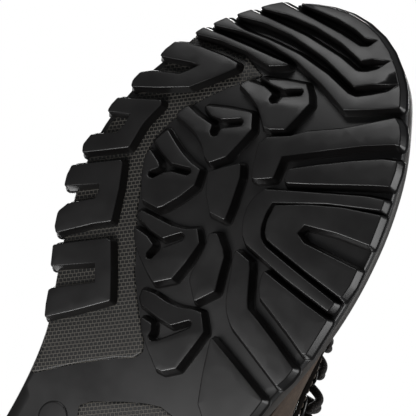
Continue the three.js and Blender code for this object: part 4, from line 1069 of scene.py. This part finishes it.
def sew_channels(piece, u, levels, depth, width):
    """Presses a pad in along lines of the last at the given levels, by depth x exp(-(distance / width)^2)."""
    points = coordinates(piece.data)
    lines = np.concatenate([off_last(u, np.full(len(u), level), SKIN_OUT + 2.0) for level in levels])
    lines = (lines + [MIDDLE_X, MIDDLE_Y, 0]) * MM
    near = np.full(len(points), np.inf)
    for start in range(0, len(points), 4000):
        block = points[start:start + 4000]
        near[start:start + 4000] = np.linalg.norm(block[:, None] - lines[None], axis=2).min(1)
    normals = np.empty(3 * len(points))
    piece.data.vertices.foreach_get("normal", normals)
    press = depth * MM * np.exp(-(near / (width * MM)) ** 2)
    piece.data.vertices.foreach_set("co", (points - normals.reshape(-1, 3) * press[:, None]).ravel())
    piece.data.update()


sew_channels(collar, np.linspace(COLLAR_FROM + 0.15, COLLAR_TO - 0.15, 500), CHANNELS, 1.4, 2.2)
finer = collar.modifiers.new("smooth skin", "SUBSURF")
finer.levels = finer.render_levels = 1
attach(collar, "boot")
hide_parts("collar_pad")

# ---------------------------------------------------------------- tongue
# Padded leather tongue, sewn in at the bottom of the throat. It is thick in the middle, thin at its
# edges, and quilted by two lines down its length.
TONGUE_LINE = np.array([(-1.5, -58, 90.1), (-2.2, -38, 97.8), (-2.8, -16, 108.6), (-2.2, 8, 124.8),
                        (-0.5, 28, 153), (-0.5, 39, 172)])
TONGUE_HALF, TONGUE_DROP, TONGUE_THICKNESS = 23.5, 15.0, 5.0


def centripetal(points, v):
    """A centripetal Catmull-Rom curve through points at v = 0 .. 1, and its direction. The ends go on
    straight. Each stretch is a cubic whose end slopes come from the square-rooted distances."""
    p = np.vstack([2 * points[0] - points[1], points, 2 * points[-1] - points[-2]])
    d = np.linalg.norm(np.diff(p, axis=0), axis=1) ** 0.5
    at = np.clip(v, 0, 1) * (len(points) - 1)
    i = np.minimum(at.astype(int), len(points) - 2)
    w = (at - i)[:, None]
    d0, d1, d2 = (d[i + k][:, None] for k in range(3))
    p0, p1, p2, p3 = (p[i + k] for k in range(4))
    s1 = ((p1 - p0) / d0 - (p2 - p0) / (d0 + d1) + (p2 - p1) / d1) * d1
    s2 = ((p2 - p1) / d1 - (p3 - p1) / (d1 + d2) + (p3 - p2) / d2) * d1
    place = ((2 * w ** 3 - 3 * w ** 2 + 1) * p1 + (w ** 3 - 2 * w ** 2 + w) * s1
             + (3 * w ** 2 - 2 * w ** 3) * p2 + (w ** 3 - w ** 2) * s2)
    slope = (6 * w ** 2 - 6 * w) * (p1 - p2) + (3 * w ** 2 - 4 * w + 1) * s1 + (3 * w ** 2 - 2 * w) * s2
    return place, slope / np.linalg.norm(slope, axis=1, keepdims=True)


def make_tongue():
    """Upper and lower skins over a grid: v along, x across from -1 to 1. The drop and the thickness both go
    with x squared, and the quilting presses the upper skin in."""
    v, x = np.linspace(0, 1, 90), np.linspace(-1, 1, 61)
    centre, slope = centripetal(TONGUE_LINE, v)
    up = np.cross([1.0, 0, 0], slope)
    up /= np.linalg.norm(up, axis=1, keepdims=True)
    widening = 0.55 + 0.45 * smooth(v * 2.2)
    half, drop = TONGUE_HALF * widening, TONGUE_DROP * widening
    quilt = 0.8 * np.exp(-((np.abs(x) - 0.42) / 0.045) ** 2) + 0.6 * np.exp(-((1 - np.abs(x)) / 0.05) ** 2)
    ends = np.minimum(smooth(v / 0.03), smooth((1 - v) / 0.03))
    thick = TONGUE_THICKNESS * (1 - 0.6 * x ** 2)
    skins = []
    for below in (thick[None] - 0.25 * (1 - ends[:, None]) * thick, quilt[None] + 0.8 * (1 - ends[:, None])):
        height = -drop[:, None] * x ** 2 - below
        skins.append(centre[:, None] + half[:, None, None] * x[None, :, None] * np.array([1.0, 0, 0])
                     + height[..., None] * up[:, None])
    points = np.concatenate([skin.reshape(-1, 3) for skin in skins])
    columns, rows_, layer = len(v), len(x), len(v) * len(x)
    i, j = np.arange(columns - 1), np.arange(rows_ - 1)
    far, side = (columns - 1) * rows_, rows_ - 1
    faces = np.vstack([
        grid_faces(columns, rows_, 0), grid_faces(columns, rows_, layer)[:, ::-1],
        np.stack([i, i + 1, i + 1, i], 1) * rows_ + [0, 0, layer, layer],
        np.stack([i, i, i + 1, i + 1], 1) * rows_ + side + [0, layer, layer, 0],
        np.stack([j, j + layer, j + 1 + layer, j + 1], 1),
        np.stack([j, j + 1, j + 1 + layer, j + layer], 1) + far])
    pieces = Pieces()
    pieces.add(points, faces.tolist())
    return pieces.build("tongue_leather", smooth_leather("soft tongue leather", "#2b2724", 0.6))


tongue = make_tongue()
soft_edges(tongue, 0.9)
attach(tongue, "tongue")
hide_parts("tongue")

# ---------------------------------------------------------------- eyelets and lace hooks
# Black-lacquered steel: five turned eyelets and two bent hooks on each side, riveted through the eyestay
# at even steps along it.
EYELETS, HOOKS = 5, 2
EYELET_HOLE, EYELET_RADIUS = 2.3, 4.6
HOOK_FOOT, HOOK_RISE, HOOK_LIP, HOOK_SHEET, HOOK_WIDTH = 6.5, 6.6, 5.5, 0.9, 3.6


def stay_places():
    """Places along the eyestay's middle, evenly spaced by length."""
    u = STAY_FROM + 0.55 + (STAY_TO - 0.15 - STAY_FROM - 0.55) * np.linspace(0, 1, 201)
    line = on_last(u, STAY_MIDDLE)
    walk = np.concatenate([[0], np.cumsum(np.linalg.norm(np.diff(line, axis=0), axis=1))])
    return u[np.searchsorted(walk, walk[-1] * np.linspace(0, 1, EYELETS + HOOKS) - 1e-9)]


fitting_places = stay_places()


def fitting_frame(u):
    """Axes and origin of a fitting: x along the eyestay, y to the throat, z off the leather."""
    u = np.array([u])
    normal = outward(u, STAY_MIDDLE)[0]
    along = (on_last(u + 0.05, STAY_MIDDLE) - on_last(u - 0.05, STAY_MIDDLE))[0]
    along -= normal * (along @ normal)
    along /= np.linalg.norm(along)
    return np.array([along, np.cross(normal, along), normal]), off_last(u, STAY_MIDDLE, OVER_OUT + 2 * GAP)[0]


def lacquered_steel():
    """Stamped steel under black lacquer, with the lacquer thinner and duller where it has been handled."""
    material, tree, output = new_material("black-lacquered steel")
    coords = node(tree, "ShaderNodeTexCoord")
    wear = node(tree, "ShaderNodeTexNoise", {"Vector": coords.outputs["Object"]},
                inputs={"Scale": 1 / (2.5 * MM), "Detail": 5.0, "Roughness": 0.65})
    tint = node(tree, "ShaderNodeMix", {"Factor": wear.outputs[0]}, data_type="RGBA")
    tint.inputs["A"].default_value = linear("#121212")
    tint.inputs["B"].default_value = linear("#3a3836")
    dull = node(tree, "ShaderNodeMapRange", {"Value": wear.outputs[0]},
                inputs={"To Min": 0.22, "To Max": 0.5})
    skin = node(tree, "ShaderNodeBsdfPrincipled",
                {"Base Color": tint.outputs["Result"], "Roughness": dull.outputs[0]},
                inputs={"Metallic": 0.7, "Coat Weight": 0.5, "Coat Roughness": 0.2})
    tree.links.new(skin.outputs[0], output.inputs[0])
    return material


def add_eyelet(pieces, axes, origin, sides=32):
    """A ring turned from a rounded section that closes on itself."""
    hole, rim = EYELET_HOLE, EYELET_RADIUS
    section = np.array([(hole, -1.2), (hole, 0.7), (hole + 0.25, 1.1), (hole + 0.75, 1.25),
                        (rim - 0.9, 1.05), (rim - 0.25, 0.65), (rim, 0.1), (rim - 0.3, 0.0),
                        (hole + 0.5, 0.0), (hole + 0.5, -1.2)])
    angle = np.arange(sides) * 2 * math.pi / sides
    local = np.stack([np.cos(angle)[:, None] * section[:, 0], np.sin(angle)[:, None] * section[:, 0],
                      np.broadcast_to(section[:, 1], (sides, len(section)))], -1).reshape(-1, 3)
    count = len(section)
    faces = grid_faces(sides, count, 0, True).tolist()
    i = np.arange(sides)
    k = (i + 1) % sides
    faces += np.stack([i * count + count - 1, k * count + count - 1, k * count, i * count], 1).tolist()
    pieces.add(local @ axes + origin, faces)


def add_hook(pieces, axes, origin):
    """A strip bent into a foot, a riser and a lip, and a domed rivet on the foot."""
    foot, rise, lip, sheet = HOOK_FOOT, HOOK_RISE, HOOK_LIP, HOOK_SHEET
    bend = np.linspace(0, math.pi / 2, 6)
    r = 1.5
    outer_low = np.stack([foot / 2 - r + r * np.sin(bend), r - r * np.cos(bend)], 1)
    outer_high = np.stack([foot / 2 - r + r * np.cos(bend), rise - r + r * np.sin(bend)], 1)
    q = r - sheet
    inner_high = np.stack([foot / 2 - r + q * np.sin(bend), rise - r + q * np.cos(bend)], 1)
    inner_low = np.stack([foot / 2 - r + q * np.cos(bend), r - q * np.sin(bend)], 1)
    outline = np.vstack([[(-foot / 2, 0)], outer_low, outer_high, [(foot / 2 - lip, rise)],
                         [(foot / 2 - lip, rise - sheet)], inner_high, inner_low, [(-foot / 2, sheet)]])
    count = len(outline)
    half = HOOK_WIDTH / 2
    local = np.vstack([np.column_stack([np.full(count, x), outline]) for x in (-half, half)])
    i = np.arange(count)
    k = (i + 1) % count
    faces = np.stack([i, k, k + count, i + count], 1).tolist()
    faces += [tuple(i[::-1].tolist()), tuple((i + count).tolist())]
    pieces.add(local @ axes + origin, faces)
    dome = np.array([(1.5, 0.0), (1.4, 0.45), (0.95, 0.8), (0.4, 0.92)])
    angle = np.arange(16) * math.pi / 8
    cap = np.stack([np.cos(angle)[:, None] * dome[:, 0], np.sin(angle)[:, None] * dome[:, 0] - 1.2,
                    np.broadcast_to(dome[:, 1] + sheet - 0.1, (16, 4))], -1).reshape(-1, 3)
    faces = grid_faces(16, 4, 0, True).tolist() + [tuple((np.arange(16) * 4 + 3).tolist())]
    faces.append(tuple((np.arange(16) * 4)[::-1].tolist()))
    pieces.add(cap @ axes + origin, faces)


lacquer = lacquered_steel()
for side, word in ((1, "lateral"), (-1, "medial")):
    for row, place in enumerate(fitting_places):
        axes, origin = fitting_frame(place if side > 0 else PLACES - place)
        fitting = Pieces()
        if row < EYELETS:
            add_eyelet(fitting, axes, origin)
            stands_for = f"eyelet_{word}_{row + 1}"
        else:
            add_hook(fitting, axes, origin)
            stands_for = f"lace_hook_{word}_{row - EYELETS + 1}"
        metal = fitting.build(f"{stands_for}_steel", lacquer)
        if row >= EYELETS:
            soft_edges(metal, 0.18, 2)
        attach(metal, "boot")
        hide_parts(stands_for)

# ---------------------------------------------------------------- lace
# One round braided polyester cord, 3.4 mm thick. It starts at the lateral top hook, crosses down to the
# lowest eyelets and back up to the medial top hook, and has a hard tip at each end.
LACE_RADIUS = 1.7
LACE_OVER = OVER_OUT + 2 * GAP + 1.2 + LACE_RADIUS + 1
OVER_EDGE = 8.0
CROSS_LIFT = LACE_RADIUS + GAP
TONGUE_RISE = 3.2
LACE_UP = np.array([0, -0.55, 0.83])


def turn_points(row, side, downwards):
    """The lace's points at one row, in the fitting's frame: over the throat's edge, round the eyelet's
    middle or the hook's riser, and back over the edge."""
    way = side if downwards else -side
    axes, origin = fitting_frame(fitting_places[row] if side > 0 else PLACES - fitting_places[row])
    if row < EYELETS:
        apart, height = LACE_RADIUS + 2 * GAP, LACE_OVER - OVER_OUT - GAP
        local = [(apart, OVER_EDGE, height + 0.6), (0, 0, height - 1.6), (-apart, OVER_EDGE, height + 0.6)]
    else:
        beside, height = HOOK_WIDTH / 2 + LACE_RADIUS + 6 * GAP, HOOK_RISE / 2
        local = [(beside, OVER_EDGE, height + 1.2), (beside, 2.2, height), (0, -2, height),
                 (-beside, 2.2, height), (-beside, OVER_EDGE, height + 1.2)]
    return [np.array([way * x, y, z]) @ axes + origin for x, y, z in local]


def lace_points():
    """Every row downwards and every row upwards, with a point between rows that is high on the way down
    and low on the way up, so that the strands cross clear of each other."""
    rows_ = EYELETS + HOOKS
    route = [(row, True) for row in reversed(range(rows_))] + [(row, False) for row in range(rows_)]
    points, side = [], 1
    for row, downwards in route:
        turn = turn_points(row, side, downwards)
        if points:
            lift = 0 if row == 0 and not downwards else (CROSS_LIFT if downwards else -CROSS_LIFT)
            points.append((points[-1] + turn[0]) / 2 + LACE_UP * (TONGUE_RISE + lift))
        points += turn
        side = -side
    return np.array(points)


def through(points, steps):
    """A uniform Catmull-Rom curve through an open row of points, with its ends going on straight."""
    p = np.vstack([2 * points[0] - points[1], points, 2 * points[-1] - points[-2]])
    at = np.linspace(0, len(points) - 1, steps)
    i = np.minimum(at.astype(int), len(points) - 2)
    w = (at - i)[:, None]
    p0, p1, p2, p3 = (p[i + k] for k in range(4))
    t1, t2 = 0.5 * (p2 - p0), 0.5 * (p3 - p1)
    return (2 * p1 - 2 * p2 + t1 + t2) * w ** 3 + (-3 * p1 + 3 * p2 - 2 * t1 - t2) * w ** 2 + t1 * w + p1


def make_tube(name, line, radius, material, sides=12):
    """A closed tube along a line, with its length and its way round in the UV map, in mm."""
    radius = np.broadcast_to(radius, len(line))
    slope = np.gradient(line, axis=0)
    slope /= np.linalg.norm(slope, axis=1, keepdims=True)
    across = np.cross(slope, LACE_UP)
    across /= np.linalg.norm(across, axis=1, keepdims=True)
    up = np.cross(across, slope)
    angle = np.arange(sides) * 2 * math.pi / sides
    ring = np.cos(angle)[None, :, None] * across[:, None] + np.sin(angle)[None, :, None] * up[:, None]
    points = (line[:, None] + radius[:, None, None] * ring).reshape(-1, 3)
    pieces = Pieces()
    count = len(line)
    j = np.arange(sides)
    i = np.arange(count - 1)[:, None]
    k = (j + 1) % sides
    walls = np.stack([i * sides + j, i * sides + k, (i + 1) * sides + k, (i + 1) * sides + j],
                     -1).reshape(-1, 4)
    ends = [tuple(j[::-1].tolist()), tuple((j + (count - 1) * sides).tolist())]
    pieces.add(points, walls.tolist() + ends)
    made = pieces.build(name, material)
    walk = np.concatenate([[0], np.cumsum(np.linalg.norm(np.diff(line, axis=0), axis=1))])
    girth = 2 * math.pi * float(radius.mean())
    loop = np.empty(len(made.data.loops), int)
    made.data.loops.foreach_get("vertex_index", loop)
    around = (loop % sides) / sides * girth
    first = np.empty(len(made.data.polygons), int)
    made.data.polygons.foreach_get("loop_start", first)
    total = np.empty(len(made.data.polygons), int)
    made.data.polygons.foreach_get("loop_total", total)
    widest = np.maximum.reduceat(around, first)
    wraps = np.repeat(widest > 0.75 * girth, total) & (around < 0.25 * girth) & (np.repeat(total, total) == 4)
    uv = np.column_stack([walk[loop // sides], around + girth * wraps])
    made.data.uv_layers.new(name="length and way round").data.foreach_set("uv", uv.ravel())
    return made


def braid(name, dark, light, pitch):
    """A round braid: two sets of yarns wound opposite ways, each yarn pitch mm wide, with the gaps between
    the yarns painted dark as painted shade.
    """
    material, tree, output = new_material(name)
    coords = node(tree, "ShaderNodeTexCoord")
    sets = []
    for turn in (35, -35):
        turned = node(tree, "ShaderNodeMapping", {"Vector": coords.outputs["UV"]})
        turned.inputs["Rotation"].default_value = (0, 0, math.radians(turn))
        sets.append(node(tree, "ShaderNodeTexWave", {"Vector": turned.outputs[0]},
                         inputs={"Scale": 0.314 / pitch}).outputs["Fac"])
    crossed = node(tree, "ShaderNodeMath", {0: sets[0], 1: sets[1]}, operation="MULTIPLY")
    # Painted shade: the colour runs to the dark one in the gaps between the yarns.
    tint = node(tree, "ShaderNodeMix", {"Factor": crossed.outputs[0]}, data_type="RGBA")
    tint.inputs["A"].default_value = linear(dark)
    tint.inputs["B"].default_value = linear(light)
    bump = node(tree, "ShaderNodeBump", {"Height": crossed.outputs[0]},
                inputs={"Strength": 0.7, "Distance": 0.25 * MM})
    skin = node(tree, "ShaderNodeBsdfPrincipled",
                {"Base Color": tint.outputs["Result"], "Normal": bump.outputs[0]},
                inputs={"Roughness": 0.8, "Sheen Weight": 0.3, "Sheen Roughness": 0.4})
    tree.links.new(skin.outputs[0], output.inputs[0])
    return material


lace_line = through(lace_points(), 1500)
lace_walk = np.concatenate([[0], np.cumsum(np.linalg.norm(np.diff(lace_line, axis=0), axis=1))])
from_end = np.minimum(lace_walk, lace_walk[-1] - lace_walk)
# The cord's first colour is painted shade in the gaps of the braid.
lace = make_tube("braided_lace", lace_line, LACE_RADIUS - 0.25 * smooth((2.0 - from_end) / 1.5),
                 braid("braided polyester cord", "#14110f", "#4a4039", 1.1))
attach(lace, "boot")
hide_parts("lace")

# ---------------------------------------------------------------- pull loop
# A loop of 16 mm nylon webbing at the back of the collar: a flat ribbed strap bent round on itself. Its
# foot is held by a leather patch sewn over the collar's lower edge.
LOOP_WIDTH, LOOP_HEIGHT, LOOP_GAP, LOOP_STRAP, LOOP_FOOT = 16.0, 30.0, 6.0, 1.8, 137.5


def make_pull_loop():
    """The strap's middle line, a stadium in side view, given a width and a thickness with rounded edges."""
    half = (LOOP_GAP + LOOP_STRAP) / 2
    low, high = LOOP_STRAP / 2, LOOP_HEIGHT - LOOP_STRAP / 2
    bend = np.linspace(0, math.pi, 25)
    corner = np.linspace(0, math.pi / 2, 7)
    r = 1.2
    right = np.column_stack([half - r + r * np.sin(corner), low + r - r * np.cos(corner)])
    arch = np.column_stack([half * np.cos(bend), high - half + half * np.sin(bend)])
    left = (right * [-1, 1])[::-1]
    line = np.vstack([right, np.column_stack([np.full(9, half),
                                              np.linspace(low + r + 1, high - half - 1, 9)]),
                      arch, np.column_stack([np.full(9, -half),
                                             np.linspace(high - half - 1, low + r + 1, 9)]), left])
    slope = np.roll(line, -1, 0) - np.roll(line, 1, 0)
    slope /= np.linalg.norm(slope, axis=1, keepdims=True)
    out = np.column_stack([slope[:, 1], -slope[:, 0]])
    thick, wide = LOOP_STRAP / 2, LOOP_WIDTH / 2
    section = np.array([(-wide + 0.5, thick), (wide - 0.5, thick), (wide, thick - 0.5), (wide, 0.5 - thick),
                        (wide - 0.5, -thick), (0.5 - wide, -thick), (-wide, 0.5 - thick),
                        (-wide, thick - 0.5)])
    back = off_last(np.array([9.0]), 0.9, SKIN_OUT - 0.5 + COLLAR_PUFF / 2)[0]
    y = line[:, None, 0] + out[:, None, 0] * section[None, :, 1] + back[1] + LOOP_GAP / 2 + LOOP_STRAP + GAP
    z = line[:, None, 1] + out[:, None, 1] * section[None, :, 1] + LOOP_FOOT
    x = np.broadcast_to(section[:, 0] + back[0], y.shape)
    count, sides = len(line), len(section)
    i = np.arange(count)[:, None]
    j = np.arange(sides)[None]
    faces = np.stack([i * sides + j, i * sides + (j + 1) % sides, (i + 1) % count * sides + (j + 1) % sides,
                      (i + 1) % count * sides + j], -1).reshape(-1, 4)
    pieces = Pieces()
    pieces.add(np.stack([x, y, z], -1).reshape(-1, 3), faces.tolist())
    return pieces.build("pull_loop_webbing", webbing())


def webbing():
    """Nylon webbing: ribs 1.5 mm apart along the strap, crossed by a finer weft, painted lighter where both
    stand up as a painted highlight and darker between them as painted shade.
    """
    material, tree, output = new_material("nylon webbing")
    coords = node(tree, "ShaderNodeTexCoord")
    ribs = node(tree, "ShaderNodeTexWave", {"Vector": coords.outputs["Object"]}, bands_direction="X",
                inputs={"Scale": 0.314 / (1.5 * MM)})
    weft = node(tree, "ShaderNodeTexWave", {"Vector": coords.outputs["Object"]}, bands_direction="Z",
                inputs={"Scale": 0.314 / (0.8 * MM)})
    both = node(tree, "ShaderNodeMath", {0: ribs.outputs["Fac"], 1: weft.outputs["Fac"]},
                operation="MULTIPLY")
    # Painted highlight and shade: the colour follows the height of the ribs and weft, light on the crossings
    # and dark between them.
    tint = node(tree, "ShaderNodeMix", {"Factor": both.outputs[0]}, data_type="RGBA")
    tint.inputs["A"].default_value = linear("#171412")
    tint.inputs["B"].default_value = linear("#3a332d")
    bump = node(tree, "ShaderNodeBump", {"Height": both.outputs[0]},
                inputs={"Strength": 0.6, "Distance": 0.25 * MM})
    skin = node(tree, "ShaderNodeBsdfPrincipled",
                {"Base Color": tint.outputs["Result"], "Normal": bump.outputs[0]},
                inputs={"Roughness": 0.7, "Sheen Weight": 0.2})
    tree.links.new(skin.outputs[0], output.inputs[0])
    return material


anchor = Pieces()
add_layer(anchor, np.linspace(8.8, 9.2, 10), 0.79, 0.875, SKIN_IN, OVER_OUT + GAP, 8)
patch = anchor.build("pull_loop_anchor", strap_leather)
soft_edges(patch, 0.4)
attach(patch, "boot")
pull_loop = make_pull_loop()
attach(pull_loop, "pull_loop")
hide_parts("pull_loop")

# ---------------------------------------------------------------- footbed
# A removable moulded polyurethane foam insole with a knitted cover, lying on the boards in the foot.
PLATE_STEEL, BOARD, FOOTBED = 1.2, 2.0, 5.0
feather = on_last(np.linspace(0, PLACES, 108, endpoint=False), 0.0)[:, :2]
bed_low = PLATE_STEEL + BOARD + 2 * GAP


def bed_lift(x, y, share):
    """The footbed's two faces, both following the seat."""
    return seat_level(y) + bed_low + FOOTBED * share


bed_profile = [(-4.2, 0.0), (-3.2, 0.05), (-2.7, 0.25), (-2.6, 0.75), (-2.9, 0.92), (-3.6, 1.0)]
shell = Pieces()
add_block(shell, feather, bed_profile, bed_lift, 4.0)
# The second colour is painted shade in the cover's open cells.
footbed = shell.build("footbed_foam", spacer_textile("knitted footbed cover", "#3a3e44", "#1c1e22"))
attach(footbed, "footbed")
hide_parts("footbed")

# ---------------------------------------------------------------- stiffeners and boards
# What lies hidden between the layers keeps its plain shape: pressed steel cap, shank and plate, a
# thermoplastic heel counter, a fibre insole board and the soft strip behind the cap.
def plain(name, colour, roughness, metallic=0.0, scale=3.0):
    """A hidden part's finish: one colour with a slight cloud, and a roughness that follows it."""
    material, tree, output = new_material(name)
    coords = node(tree, "ShaderNodeTexCoord")
    cloud = node(tree, "ShaderNodeTexNoise", {"Vector": coords.outputs["Object"]},
                 inputs={"Scale": 1 / (scale * MM), "Detail": 4.0})
    tint = node(tree, "ShaderNodeMix", {"Factor": cloud.outputs[0]}, data_type="RGBA")
    tint.inputs["A"].default_value = tuple(c * 0.85 for c in linear(colour)[:3]) + (1,)
    tint.inputs["B"].default_value = tuple(min(1, c * 1.12) for c in linear(colour)[:3]) + (1,)
    dull = node(tree, "ShaderNodeMapRange", {"Value": cloud.outputs[0]},
                inputs={"To Min": roughness - 0.08, "To Max": roughness + 0.08})
    skin = node(tree, "ShaderNodeBsdfPrincipled",
                {"Base Color": tint.outputs["Result"], "Roughness": dull.outputs[0]},
                inputs={"Metallic": metallic})
    tree.links.new(skin.outputs[0], output.inputs[0])
    return material


pressed_steel = plain("pressed steel", "#8e9296", 0.4, 1.0)
for hidden, finish, slot_name in (
        ("steel_shank", pressed_steel, "steel"), ("puncture_plate", pressed_steel, "steel"),
        ("steel_toe_cap", pressed_steel, "steel"),
        ("insole_board", plain("fibre board", "#a48a63", 0.85, scale=1.0), "board"),
        ("heel_counter", plain("thermoplastic counter", "#c2bba8", 0.6), "board"),
        ("toe_cap_edge_pad", plain("soft cap edging", "#202020", 0.7), "pad_rubber")):
    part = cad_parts[hidden]
    part.data.materials.clear()
    part.data.materials.append(finish)
